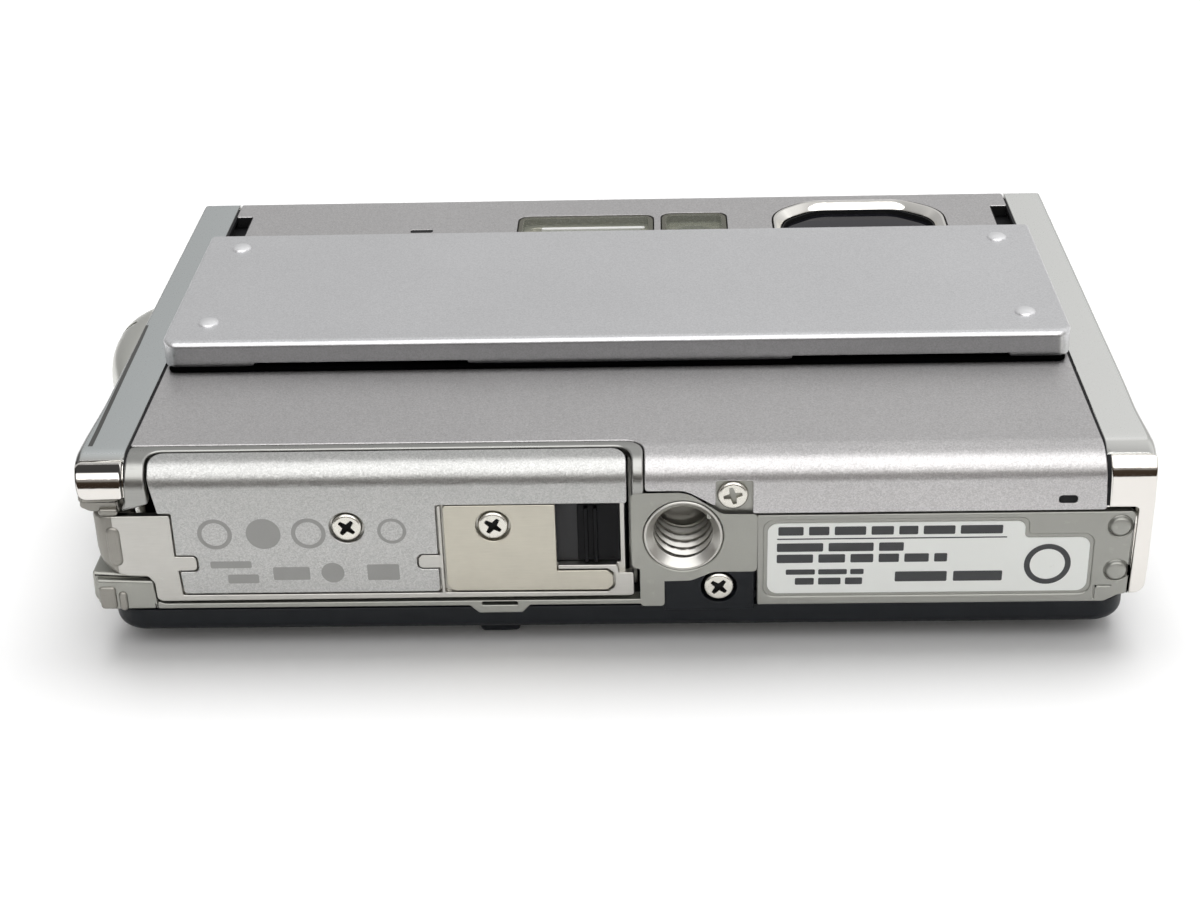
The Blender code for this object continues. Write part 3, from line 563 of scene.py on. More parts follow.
def satin_paint(name, color, roughness, flake=0.5, wall=1.0):
    """Metallic lacquer with fine flakes; with a wall share below one, faces turned to the base are darkened
    to that share of the colour as painted shade.
    """
    m = Nodes(name, color, 0.92, roughness)
    cells = m.flakes(11.0)
    split = m.add("ShaderNodeSeparateColor")
    m.link(cells, split.inputs["Color"])
    cloud = m.spread(m.noise(0.05, 2.0), 0.94, 1.06)
    glint = m.spread(split.outputs["Red"], 1 - 0.3 * flake, 1 + 0.3 * flake)
    shade = m.math("MULTIPLY", cloud, glint)
    # Painted shade: faces that turn down to the base are darkened by the wall share.
    if wall < 1.0:
        down = m.math("MULTIPLY", m.facing()["Z"], -1.0)
        shade = m.math("MULTIPLY", shade, m.share(down, 0.93, 0.995, 1.0, wall))
    m.set("Base Color", m.shaded(color, shade))
    m.set("Roughness", m.spread(split.outputs["Green"], roughness - 0.05, roughness + 0.07))
    m.set("Normal", m.facets(cells, 0.16 * flake))
    return m.material


def brushed_steel(name, color, roughness, along="X", depth=0.004, stain=0.1):
    """Sheet metal with a fine lengthwise grain, faint stains and a few handling marks."""
    m = Nodes(name, color, 1.0, roughness)
    stretch = {"X": (0.04, 1, 1), "Y": (1, 0.04, 1), "Z": (1, 1, 0.04)}[along]
    grain = m.noise(14.0, 3.0, stretch)
    cloud = m.noise(0.35, 4.0)
    marks = m.ramp(m.noise(3.5, 2.0, (0.25, 1, 1)), (0.66, 0.0), (0.72, 1.0))
    shade = m.math("MULTIPLY", m.spread(grain, 0.93, 1.07), m.spread(cloud, 1 - stain, 1 + stain))
    m.set("Base Color", m.shaded(color, shade))
    rough = m.math("ADD", m.spread(cloud, roughness - 0.08, roughness + 0.1), m.spread(marks, 0.0, 0.12))
    m.set("Roughness", rough)
    m.set("Normal", m.bump(grain, depth))
    return m.material


def polished(name, color, roughness, grime=0.05, shade=None):
    """Mirror chrome with faint smears and fine scratches; with a shade range, a painted dark reflection on
    faces that lean down by that range.
    """
    m = Nodes(name, color, 1.0, roughness)
    smear = m.noise(0.5, 5.0)
    scratch = m.ramp(m.noise(6.0, 2.0, (0.15, 1, 1)), (0.70, 0.0), (0.76, 1.0))
    smeared = m.spread(smear, roughness, roughness + grime)
    m.set("Roughness", m.math("ADD", smeared, m.spread(scratch, 0, 0.1)))
    tone = m.mix(m.spread(smear, 0.0, 0.3), color, tuple(0.9 * c for c in color))
    # Painted reflection: a dark band on faces that lean down within the shade range.
    if shade:
        low, high = shade
        down = m.math("MULTIPLY", m.facing()["Z"], -1.0)
        dark = m.ramp(down, (low, 0.0), (low + 0.04, 1.0), (high - 0.03, 1.0), (high, 0.0))
        tone = m.mix(dark, tone, (0.02, 0.019, 0.018))
    m.set("Base Color", tone)
    m.set("Normal", m.bump(m.noise(0.6, 2.0), 0.012))
    return m.material


def side_trim_metal(name, satin, edge, flat=0.965):
    """Trim with a satin front band, polished sides and a painted reflection, the edge colour, on the rounding
    between them.
    """
    chrome = (0.62, 0.62, 0.60)
    m = Nodes(name, chrome, 1.0, 0.12)
    facing = m.facing()
    toward = m.math("MULTIPLY", facing["Y"], -1.0)
    band = m.share(toward, flat, 0.995)
    sideways = m.share(m.math("ABSOLUTE", facing["X"]), 0.25, 0.4)
    rounding = m.math("MULTIPLY", sideways, m.share(toward, 0.15, 0.4))
    grain = m.noise(9.0, 3.0)
    cloud = m.noise(0.12, 4.0)
    side = m.mix(m.spread(cloud, 0, 0.6), chrome, (0.5, 0.5, 0.48))
    # The edge colour on the rounding is a painted reflection, darker than the band beside it.
    m.set("Base Color", m.mix(band, m.mix(rounding, side, edge), satin))
    satin_rough = m.spread(grain, 0.24, 0.34)
    chrome_rough = m.spread(cloud, 0.05, 0.16)
    rough = m.add("ShaderNodeMix", data_type="FLOAT")
    for index, value in ((0, band), (2, chrome_rough), (3, satin_rough)):
        m.link(value, rough.inputs[index])
    m.set("Roughness", rough.outputs[0])
    m.set("Normal", m.bump(grain, 0.003))
    return m.material


def cast_metal(name, color, roughness, grain_height=0.012):
    """Painted casting: even fine grain, slightly worn to bare metal in patches."""
    m = Nodes(name, color, 0.85, roughness)
    grain = m.noise(5.0, 4.0)
    cloud = m.noise(0.3, 4.0)
    worn = m.ramp(m.noise(1.2, 6.0), (0.62, 0.0), (0.75, 0.5))
    shade = m.mix(m.spread(cloud, 0.0, 0.35), color, tuple(0.8 * c for c in color))
    m.set("Base Color", m.mix(worn, shade, tuple(min(1.25 * c, 1.0) for c in color)))
    m.set("Roughness", m.spread(grain, roughness - 0.08, roughness + 0.08))
    m.set("Normal", m.bump(grain, grain_height))
    return m.material


def moulded_plastic(name, color, roughness, grain_height=0.01, per_mm=4.0, shine=0.5):
    m = Nodes(name, color, 0.0, roughness)
    m.set("Specular IOR Level", shine)
    grain = m.noise(per_mm, 3.0)
    cloud = m.noise(0.08, 3.0)
    m.set("Base Color", m.mix(m.spread(cloud, 0.0, 0.5), color, tuple(0.75 * c + 0.003 for c in color)))
    m.set("Roughness", m.spread(grain, roughness - 0.06, roughness + 0.08))
    m.set("Normal", m.bump(grain, grain_height))
    return m.material


def printed(name, color, roughness=0.5, metallic=0.0):
    m = Nodes(name, color, metallic, roughness)
    speck = m.noise(8.0, 2.0)
    paler = tuple(min(1.15 * c + 0.02, 1.0) for c in color)
    m.set("Base Color", m.mix(m.spread(speck, 0.0, 0.25), color, paler))
    return m.material


def label_paper():
    """Gloss-laminated white sticker with a faint mottle."""
    m = Nodes("label_paper", (0.88, 0.90, 0.87), 0.0, 0.3)
    cloud = m.noise(0.4, 5.0)
    m.set("Base Color", m.mix(m.spread(cloud, 0.0, 0.5), (0.90, 0.92, 0.89), (0.84, 0.86, 0.83)))
    m.set("Roughness", m.spread(cloud, 0.22, 0.38))
    m.set("Normal", m.bump(m.noise(2.0, 3.0), 0.004))
    return m.material


def window_glass(name, color, alpha):
    m = Nodes(name, color, 0.0, 0.03)
    m.set("Alpha", alpha)
    m.set("Specular IOR Level", 0.6)
    m.set("Normal", m.bump(m.noise(0.15, 1.0), 0.02))
    return m.material


def dark_glass(name, color=(0.006, 0.006, 0.008)):
    """Black glass with a faint purple coating sheen and some dust."""
    m = Nodes(name, color, 0.0, 0.04)
    dust = m.ramp(m.noise(2.5, 6.0), (0.6, 0.0), (0.85, 0.35))
    m.set("Base Color", m.mix(dust, color, (0.05, 0.05, 0.055)))
    m.set("Roughness", m.spread(dust, 0.03, 0.25))
    m.set("Specular IOR Level", 0.2)
    m.set("Specular Tint", (0.85, 0.8, 1.0, 1.0))
    return m.material


def reflector():
    m = Nodes("silvered_reflector", (0.86, 0.86, 0.84), 1.0, 0.14)
    ridges = m.add("ShaderNodeTexWave", wave_type="BANDS", bands_direction="X")
    ridges.inputs["Scale"].default_value = 1.2
    m.link(m.place(), ridges.inputs["Vector"])
    m.set("Normal", m.bump(ridges.outputs["Fac"], 0.15))
    return m.material


PAINT = satin_paint("satin_silver_paint", (0.52, 0.51, 0.51), 0.37)
# The cover's skirt and other downward faces get painted shade (wall share 0.36).
COVER_PAINT = satin_paint("cover_paint", (0.66, 0.66, 0.67), 0.36, 0.3, 0.36)
DOME_PAINT = satin_paint("dome_paint", (0.80, 0.80, 0.81), 0.4, 0.0)
SKIN_PAINT = satin_paint("door_paint", (0.46, 0.46, 0.45), 0.33)
# Two copies of one trim metal: the left one darker and the right one lighter, painting the light that falls
# more on the right.
TRIM = side_trim_metal("trim_metal_shaded_side", (0.60, 0.63, 0.63), (0.16, 0.16, 0.155), 0.84)
LIT_SIDE_TRIM = side_trim_metal("trim_metal_lit_side", (0.84, 0.845, 0.82), (0.55, 0.55, 0.53))
CHROME = polished("polished_chrome", (0.82, 0.80, 0.76), 0.06)
CAP_CHROME = polished("cap_chrome", (0.74, 0.715, 0.68), 0.07)
# The left corner cap carries a painted dark reflection band across its bend.
LEFT_CAP_CHROME = polished("left_cap_chrome", (0.74, 0.715, 0.68), 0.07, shade=(0.60, 0.84))
LUG_METAL = polished("lug_metal", (0.60, 0.60, 0.56), 0.3)
# Dark metal for the strip that paints the shade along the left trim's band.
GROOVE_SHADE_METAL = polished("groove_painted_shade_metal", (0.13, 0.13, 0.125), 0.3)
RIM_STEEL = brushed_steel("rim_steel", (0.35, 0.35, 0.335), 0.28)
STEEL = brushed_steel("stainless_steel", (0.50, 0.49, 0.46), 0.3)
SCREW = polished("screw_nickel", (0.70, 0.68, 0.62), 0.2, 0.12)
LATCH_STEEL = brushed_steel("latch_steel", (0.51, 0.485, 0.415), 0.32, stain=0.12)
HINGE_STEEL = brushed_steel("hinge_steel", (0.29, 0.28, 0.255), 0.4, "Y", stain=0.14)
CASTING = cast_metal("grey_casting", (0.37, 0.37, 0.34), 0.42)
PLATE_METAL = cast_metal("base_plate_metal", (0.34, 0.34, 0.315), 0.38, 0.006)
CASE_PLASTIC = moulded_plastic("rear_case_plastic", (0.005, 0.007, 0.010), 0.42, shine=0.25)
GLOSS = moulded_plastic("black_slider_plastic", (0.003, 0.003, 0.004), 0.16, 0.003, shine=0.12)
BLACK = moulded_plastic("black_parts", (0.010, 0.010, 0.012), 0.5)
# Dark plastic for real dark parts, also used for the dark fillers that paint shade in slots, recesses and
# gaps.
DARK = moulded_plastic("dark_plastic_and_painted_shade", (0.008, 0.008, 0.009), 0.6, 0.02, shine=0.2)
# Matt black for the strip that paints the cover's shadow.
COVER_SHADOW_BLACK = moulded_plastic("painted_shadow_black", (0.0006, 0.0006, 0.0007), 1.0, 0.02, shine=0.0)
OLIVE = moulded_plastic("window_edge", (0.06, 0.058, 0.038), 0.25, 0.004)
DARK_GLASS = dark_glass("dark_glass")
SCREEN = dark_glass("screen_glass", (0.02, 0.022, 0.026))
CLEAR = window_glass("clear_window", (0.56, 0.58, 0.48), 0.13)
OPTIC = window_glass("optical_glass", (0.85, 0.9, 0.92), 0.3)
SILVERED = reflector()
LABEL_PAPER = label_paper()
LABEL_INK = printed("label_ink", (0.04, 0.042, 0.045))
GREY_INK = printed("grey_ink", (0.30, 0.30, 0.29), 0.42, 0.8)
PALE_INK = printed("pale_ink", (0.72, 0.72, 0.72))
SEAL_RUBBER = moulded_plastic("seal_rubber", (0.10, 0.10, 0.105), 0.75, 0.02, 7.0)
BOARD_MASK = moulded_plastic("board_mask", (0.02, 0.12, 0.05), 0.4, 0.02)
BATTERY_WRAP = moulded_plastic("battery_wrap", (0.07, 0.075, 0.08), 0.4, 0.004)
GOLD = polished("gold_contacts", (0.85, 0.62, 0.28), 0.2)
BUTTON_METAL = brushed_steel("button_satin", (0.60, 0.61, 0.62), 0.24, "X")
TOP_METAL = brushed_steel("top_satin", (0.52, 0.54, 0.56), 0.3, "X", stain=0.05)


# ------------------------------------------------------------ front of the body


def shape_of_lens_opening(grow):
    """Opening round the lens, with its upper corners cut back further than its lower ones."""
    left, right = RING.left - grow, RING.right + grow
    low, high = RING.low - grow, RING.high + grow
    corners = [(left, low, 2.2 + grow), (right, low, 2.2 + grow)]
    cut_x, cut_z = 3.9, 3.1
    corners += [(right, high - cut_z, 4.6 + grow), (right - cut_x, high, 4.6 + grow)]
    corners += [(left + cut_x, high, 4.6 + grow), (left, high - cut_z, 4.6 + grow)]
    return corners


def raised(corners):
    """Corners on the front face moved to the unrolled sheet."""
    return [(x, unrolled_front(z), radius) for x, z, radius in corners]


def window_corners(window, grow, radius=1.2):
    left, right, low, high = window.xz(grow)
    return [(x, z, radius) for x, z in ((left, low), (right, low), (right, high), (left, high))]


def shrunk(sides, by=0.02):
    a0, a1, b0, b1 = sides
    return a0 + by, a1 - by, b0 + by, b1 - by


SEAM_X = 41.38  # the front panel's sides as seen, a hair's breadth from the trims
BASE_SEAM_X = 41.82  # the same on the base, where the trims draw back
LAND_FRONT = -4.45  # the panel's edge along the tripod socket
LAND_SIDE = 1.75
PANEL_REAR = PANEL.rear
SLOT_INNER = PANEL.right - 1.55
SLOT_HIGH = 55.9
MICROPHONE_SLOT = (-22.06, -19.7, 50.6, 51.45)  # left, right, low, high
POCKET_SLOT = (37.7, 39.3, -3.65, -2.9)  # left, right, front, rear


def panel_outline():
    """The unrolled front panel, anticlockwise from the rim's right end."""
    rim = unrolled_front(RIM_TOP + 0.05)
    front = unrolled_base(LAND_FRONT)
    rear = unrolled_base(PANEL_REAR)
    pocket = unrolled_base(-5.38)
    slot_low, slot_high = unrolled_front(COVER.low + 16), unrolled_front(SLOT_HIGH)
    top = unrolled_front(PANEL.high - HIGH_BEND) + HIGH_BEND * math.pi / 2 + 0.6
    right = [(2.75, rim, 1.7), (2.75, front, 0.3), (6.2, front, 2.4), (8.78, unrolled_base(-2.9), 0.2)]
    right += [(8.78, pocket, 0.2), (11.9, pocket, 0.2), (11.9, rear, 0.2), (BASE_SEAM_X, rear, 0.25)]
    right += [(SEAM_X, unrolled_front(LOW_BEND), 0.2), (SEAM_X, slot_low, 0.2), (SLOT_INNER, slot_low, 0.2)]
    right += [(SLOT_INNER, slot_high, 0.2), (SEAM_X, slot_high, 0.2), (SEAM_X, top, 0.2)]
    left = [(-SEAM_X, top, 0.2), (-SEAM_X, slot_high, 0.2), (-SLOT_INNER, slot_high, 0.2)]
    left += [(-SLOT_INNER, slot_low, 0.2), (-SEAM_X, slot_low, 0.2), (-SEAM_X, rim, 0.2)]
    return outline(right + left, 8)


def make_front_panel():
    openings = [outline(raised(shape_of_lens_opening(0.1)), 8)]
    openings += [outline(raised(window_corners(w, 0.12)), 6) for w in (FLASH, LAMP)]
    left, right, low, high = MICROPHONE_SLOT
    openings.append(rectangle(left, right, unrolled_front(low), unrolled_front(high), 0.25, 4))
    left, right, front, rear = POCKET_SLOT
    openings.append(rectangle(left, right, unrolled_base(rear), unrolled_base(front), 0.3, 4))
    bm = new_shape()
    plate(bm, "Z", panel_outline(), 0, SHEET, openings, soft=(0.12, 0.1), steps=4, hole_soft=(0.05, 0.02))
    wrap(bm)
    piece(bm, "front_panel_sheet", PAINT, ("front_panel",))


def make_backing():
    """Dark walls behind the openings of the front and the base, and dark linings in the slots: painted shade
    inside the openings.
    """
    half = PANEL.right + 2.4
    openings = ((17.2, 33.6, 44.6, 57.4, 1.0), (-10.4, 3.3, 47.6, 54.4, 0.5), (5.2, 10.7, 48.0, 54.6, 0.5))
    bm = new_shape()
    wall = rectangle(-half, half, 3.4, PANEL.high - 2.4, 0.3)
    plate(bm, "Y", wall, -6.5, -5.6, [rectangle(*sides) for sides in openings])
    socket_hole = circle((SOCKET.x, SOCKET.y), SOCKET.right - SOCKET.x + 0.05)
    plate(bm, "Z", rectangle(2.1, half, -5.5, 6.4, 0.3), 1.72, 2.6, [socket_hole])
    block(bm, -half, half, -5.4, 6.2, PANEL.high - 3.0, PANEL.high - 1.6)
    piece(bm, "chassis_backing", DARK, ("chassis",))
    # Dark linings in the cover's guide slots, the microphone slot and the base's pocket: painted shade inside
    # them.
    bm = new_shape()
    depths = (PANEL.front + 0.08, -6.6)
    for side in (-1, 1):
        end = sorted((side * (SLOT_INNER + 0.02), side * SEAM_X))
        block(bm, *end, *depths, SLOT_HIGH - 0.09, SLOT_HIGH - 0.005, 0.01, 0.01)
        wall = sorted((side * (SLOT_INNER + 0.005), side * (SLOT_INNER + 0.09)))
        block(bm, *wall, *depths, COVER.low + 16.1, SLOT_HIGH - 0.1, 0.01, 0.01)
    plate(bm, "Y", rectangle(*shrunk(MICROPHONE_SLOT), 0.24, 4), PANEL.front + 0.03, -6.9, soft=0.01)
    plate(bm, "Z", rectangle(*shrunk(POCKET_SLOT), 0.28, 4), 0.03, 0.7, soft=0.01)
    piece(bm, "opening_linings", DARK)


def make_lens():
    front = PANEL.front - 0.05
    surround = [(0.0, -6.2), (0.0, front + 0.1), (0.06, front + 0.01), (0.16, front), (0.3, front + 0.02)]
    surround += [(0.95, front + 0.62), (1.02, front + 0.75), (1.02, -6.2)]
    tube = [(0.0, -6.3), (0.0, front + 0.72), (0.12, front + 0.72), (0.12, -6.3)]
    bm = new_shape()
    hoop(bm, "Y", outline(shape_of_lens_opening(-0.05), 12), surround)
    piece(bm, "lens_surround", CHROME, ("lens_ring",))
    bm = new_shape()
    hoop(bm, "Y", outline(shape_of_lens_opening(-1.05), 12), tube)
    piece(bm, "lens_tube", DARK)
    bm = new_shape()
    plate(bm, "Y", outline(shape_of_lens_opening(-1.2), 10), -6.75, -6.4, soft=(0.15, 0.05))
    piece(bm, "lens_cover_glass", DARK_GLASS, ("lens_window",))


def make_window(window, node, name):
    """Clear pane and its dark moulded edge."""
    front, rear = window.front, window.rear
    loop = outline(window_corners(window, 0.0, 1.15), 8)
    bm = new_shape()
    plate(bm, "Y", loop, front, rear, soft=(0.12, 0.05))
    piece(bm, name, CLEAR, (node,))
    bm = new_shape()
    edge = [(0.0, rear + 0.05), (0.0, front + 0.05), (0.1, front - 0.02), (0.42, front - 0.02)]
    hoop(bm, "Y", loop, [*edge, (0.5, front + 0.06), (0.5, rear + 0.05)])
    piece(bm, f"{name}_edge", OLIVE)


def make_flash():
    """Mask, a pale tube bar that also paints the highlight line across the flash, and reflector behind the
    flash window.
    """
    inner = rectangle(*FLASH.xz(-1.3)[:2], FLASH.low + 1.5, FLASH.high - 1.2, 0.5)
    bm = new_shape()
    plate(bm, "Y", rectangle(*FLASH.xz(-0.3), 0.9), -6.95, -6.2, [inner], soft=0.08)
    piece(bm, "flash_mask", LATCH_STEEL)
    # Pale flat bar for the flash tube, placed and lightened to paint the highlight line across the reflector.
    bm = new_shape()
    plate(bm, "Y", rectangle(-8.3, 2.7, 52.75, 53.35, 0.2, 3), -7.08, -6.8, soft=0.08)
    piece(bm, "flash_tube_highlight_bar", PALE_INK)
    half_width, half_height = (FLASH.right - FLASH.left - 2.6) / 2, (FLASH.high - FLASH.low - 2.7) / 2
    middle_z = FLASH.z + 0.15
    rings = []
    for k in range(9):
        share = k / 8
        across = half_width - 0.9 * share
        up = half_height * math.sqrt(1 - 0.85 * share * share)
        loop = rectangle(FLASH.x - across, FLASH.x + across, middle_z - up, middle_z + up, 0.4)
        rings.append([Vector((p.x, -6.25 + 2.6 * share, p.y)) for p, _ in loop])
    bm = new_shape()
    grid_solid(bm, rings)
    piece(bm, "flash_reflector", SILVERED, ("flash_unit",))


def make_lamp():
    """Mask and lens behind the lamp window."""
    centre = (LAMP.x, LAMP.z)
    bm = new_shape()
    plate(bm, "Y", rectangle(*LAMP.xz(-0.25), 0.9), -6.95, -6.3, [circle(centre, 2.3)], soft=0.1)
    piece(bm, "lamp_mask", OLIVE)
    turns = [math.radians(a) for a in range(6, 91, 12)]
    dome = [(-6.9 + 1.6 * (1 - math.cos(t)), 2.2 * math.sin(t)) for t in turns]
    bm = new_shape()
    turned(bm, "Y", centre, [*dome, (-2.0, 2.2)])
    piece(bm, "lamp_lens", OPTIC, ("af_lamp",))


# ------------------------------------------------------------ sliding cover


RELIEF_X = 1.4  # middle of the two recesses in the skirt's lower edge
RELIEF_INNER = 14.8
RELIEF_OUTER = 34.55


def relief(x):
    """How much of the recess's depth a point of the skirt's lower edge loses."""
    inside = min(abs(x - RELIEF_X) - RELIEF_INNER, RELIEF_OUTER - abs(x - RELIEF_X))
    if inside >= 0:
        return 1.0
    return 0.35 * max(1 + inside / 0.9, 0.0) ** 2


def cover_soft(normal):
    """Rounding of the cover's face: wide along its lower edge, crisp elsewhere."""
    return 0.28 + 0.34 * max(-normal.y, 0.0) ** 2


def make_cover():
    """Pressed cover with its recessed skirt, a black strip under it that paints the cover's shadow on the
    panel, and the four domes.
    """
    half, low, high = COVER.right + 0.08, COVER.low, COVER.high
    face = COVER.front + 0.2
    steps = []
    for side in (-1, 1):
        for edge, into in ((RELIEF_INNER, 1), (RELIEF_OUTER, -1)):
            steps += [RELIEF_X + side * (edge + into * d) for d in (-0.9, -0.6, -0.3, -0.12, -0.01, 0.04)]
    corners = [(-half, low, 1.35), *((x, low, 0.0) for x in sorted(steps)), (half, low, 1.35)]
    corners += [(half, high, 0.5), (-half, high, 0.5)]
    bm = new_shape()
    tray(bm, "Y", outline(corners, 8), face, COVER.rear, 0.9, cover_soft)
    for vert in bm.verts:
        if vert.co.z < low + 1.0 and vert.co.y > COVER.rear - 0.6:
            vert.co.y -= 0.34 * relief(vert.co.x)
    piece(bm, "sliding_cover_shell", COVER_PAINT, ("slide_cover",), body="sliding_cover")
    # Black strip under the skirt's lower edge: painted shadow of the cover on the panel.
    bm = new_shape()
    strip = rectangle(-half + 0.5, half - 0.5, low - 0.6, low + 0.9, 0.8)
    plate(bm, "Y", strip, COVER.rear - 0.12, PANEL.front - 0.06, soft=0.05)
    piece(bm, "cover_shadow_strip", COVER_SHADOW_BLACK, body="sliding_cover")
    turns = [math.radians(a) for a in range(4, 91, 11)]
    dome = [(face + 0.02 - 0.4 * math.cos(t), 0.98 * math.sin(t)) for t in turns]
    for index, place in enumerate((x, z) for x in (-37.85, 37.85) for z in (22.2, 40.2)):
        bm = new_shape()
        turned(bm, "Y", place, [*dome, (face + 0.3, 0.98)], 32)
        piece(bm, f"cover_dome_{index + 1}", DOME_PAINT, body="sliding_cover")


# ------------------------------------------------------------ side trims


TRIM_SEAM = {-1: 1.32, 1: 0.9}  # height where each trim's band meets its corner cap
FLARE = {-1: (0.45, 13.0), 1: (0.36, 9.0)}  # how far each trim widens towards the base, and from what height
TRIM_OUTER = RIGHT_TRIM.right - 0.35  # the bands stand a little inside the corner caps
CAP_OUTER = RIGHT_TRIM.right - 0.08
TRIM_INNER = 41.58


def trim_loop(span, shrink=0.0):
    """A trim's outline in (y, z), with points close together for shaping."""
    front, rear, low, high = span.front + shrink, span.rear, span.low + shrink, span.high
    bend = LOW_BEND - shrink
    loop = outline([(front, low, bend), (rear, low, 0.9), (rear, high, 0.9), (front, high, HIGH_BEND)], 10)
    dense = []
    for index, (p, n) in enumerate(loop):
        q, _ = loop[(index + 1) % len(loop)]
        count = max(1, int((q - p).length / 0.8))
        dense += [(p.lerp(q, k / count), n) for k in range(count)]
    return dense


def edge_radius(point, normal):
    """Rounding of a trim's outer edge: crisp along the front, softer near the base."""
    facing_front = max(-normal.x, 0.0)
    low = min(max(1 - point.y / 16, 0.0), 1.0)
    return 0.5 + facing_front * (0.6 * low * low - 0.15)


def rear_taper(y, rear):
    """How far a trim's side draws in behind the middle of the body."""
    back = min(max((y + 1.0) / (rear + 1.0), 0.0), 1.0)
    return 0.65 * back * back


def top_rounding(z, high, radius=0.9):
    """How far a trim's side draws in at its upper end."""
    share = min(max((z - high + radius) / radius, 0.0), 1.0)
    return 0.8 * radius * (1 - math.sqrt(1 - share * share))


def trim_side(y, z, span, side, shrink):
    """Half width of the body out to a trim's side face."""
    amount, start = FLARE[side]
    share = min(max((start - z) / (start - 2.0), 0.0), 1.0)
    flare = amount * share * share * (3 - 2 * share)
    return TRIM_OUTER - shrink / 2 + flare - rear_taper(y, span.rear) - top_rounding(z, span.high)


def make_trim(span, side, shrink=0.0):
    """Closed frame of a trim, rounded at its outer edge."""
    loop = trim_loop(span, shrink)
    stations = [(0.0, 0.05), (0.05, 0.0), (0.5, 0.0)]
    bm = new_shape()
    rings = []
    for inward, inset in stations:
        rings.append([Vector((side * (TRIM_INNER + inward), *(p - n * inset))) for p, n in loop])
    for k in range(7):
        t = math.pi / 2 * k / 6
        ring = []
        for p, n in loop:
            radius = edge_radius(p, n)
            here = p - n * radius * (1 - math.cos(t))
            x = trim_side(p.x, p.y, span, side, shrink) - radius * (1 - math.sin(t))
            ring.append(Vector((side * x, *here)))
        rings.append(ring)
    edge = rings[-1]
    half_depth, half_height = (span.rear - span.front) / 2, (span.high - span.low) / 2
    for scale in (0.8, 0.6, 0.4, 0.2, 0.02):
        shorter = 1 - (1 - scale) * half_depth / half_height
        ring = []
        for v in edge:
            y, z = span.y + (v.y - span.y) * scale, span.z + (v.z - span.z) * shorter
            ring.append(Vector((side * trim_side(y, z, span, side, shrink), y, z)))
        rings.append(ring)
    grid_solid(bm, rings)
    return bm


def split_at(bm, height, keep_low):
    """Keeps the part of a closed mesh above or below a height and closes the cut."""
    everything = bm.verts[:] + bm.edges[:] + bm.faces[:]
    cut = bmesh.ops.bisect_plane(
        bm, geom=everything, dist=1e-5, plane_co=(0, 0, height), plane_no=(0, 0, 1),
        clear_outer=keep_low, clear_inner=not keep_low,
    )
    edges = [e for e in cut["geom_cut"] if isinstance(e, bmesh.types.BMEdge)]
    bmesh.ops.contextual_create(bm, geom=edges)


def make_trims():
    for span, side, word in ((LEFT_TRIM, -1, "left"), (RIGHT_TRIM, 1, "right")):
        bm = make_trim(span, side)
        split_at(bm, TRIM_SEAM[side] + 0.03, keep_low=False)
        # The right trim takes the lighter copy, painted lighter for the light on that side.
        finish = TRIM if side < 0 else LIT_SIDE_TRIM
        band = piece(bm, f"{word}_trim_band", finish, (f"{word}_side_trim",))
        bm = make_trim(span, side, 0.35)
        split_at(bm, TRIM_SEAM[side] + 0.5, keep_low=True)
        inside = piece(bm, f"{word}_trim_inside", CHROME)
        if side < 0:
            carve(band, plain_cutter(-50, -40, -3.95, 8, 0, 5.8))
            carve(inside, plain_cutter(-50, -40, -4.3, 8, -1, 6))
        else:
            carve(band, port_opening(), plain_cutter(40, 44.4, -2.3, 8, -1, 1.3))
            carve(inside, plain_cutter(40, 44.4, -2.3, 8, -1, 1.3))


def make_corner_caps():
    """Polished corners of the trims, bent round from the front to the base, and the trims' dark seams."""
    b = unrolled_base
    left_top, right_top = (unrolled_bend(TRIM_SEAM[side] - 0.02) for side in (-1, 1))
    left = [(-CAP_OUTER - 0.1, left_top, 0.7), (-CAP_OUTER + 0.1, b(-4.14), 0.8), (-41.78, b(-4.2), 0.3)]
    left += [(-41.72, left_top, 0.3)]
    right = [(41.86, right_top, 0.12), (42.02, b(-2.42), 0.15)]
    right += [(44.52, b(-2.42), 0.4), (44.36, b(6.12), 0.15), (45.7, b(6.1), 1.0), (45.8, b(3.5), 2.0)]
    right += [(CAP_OUTER + 0.08, b(-3.0), 2.0), (CAP_OUTER + 0.02, right_top, 0.4)]
    looks = (("left", left, 0.26, LEFT_CAP_CHROME), ("right", right, 0.16, CAP_CHROME))
    for word, corners, soft, finish in looks:
        bm = new_shape()
        plate(bm, "Z", outline(corners, 8), 0.0, 1.2, soft=(soft, 0.1), steps=6)
        wrap(bm)
        piece(bm, f"{word}_corner_cap", finish)
    inner, top = SEAM_X + 0.02, unrolled_front(2.6)
    corner = [(inner, top, 0.02), (41.9, top, 0.02), (42.1, b(-2.6), 0.02), (inner, b(-2.6), 0.02)]
    bm = new_shape()
    for x in (-SEAM_X - 0.1, SEAM_X + 0.1):
        seam = rectangle(x - 0.14, x + 0.14, b(-5.0), unrolled_front(PANEL.high - 3), 0.02, 1)
        plate(bm, "Z", seam, 0.1, 0.5, soft=0.01, steps=1)
    plate(bm, "Z", outline(corner, 2), 0.07, 0.6, soft=0.01, steps=1)
    wrap(bm)
    piece(bm, "trim_seams", DARK)


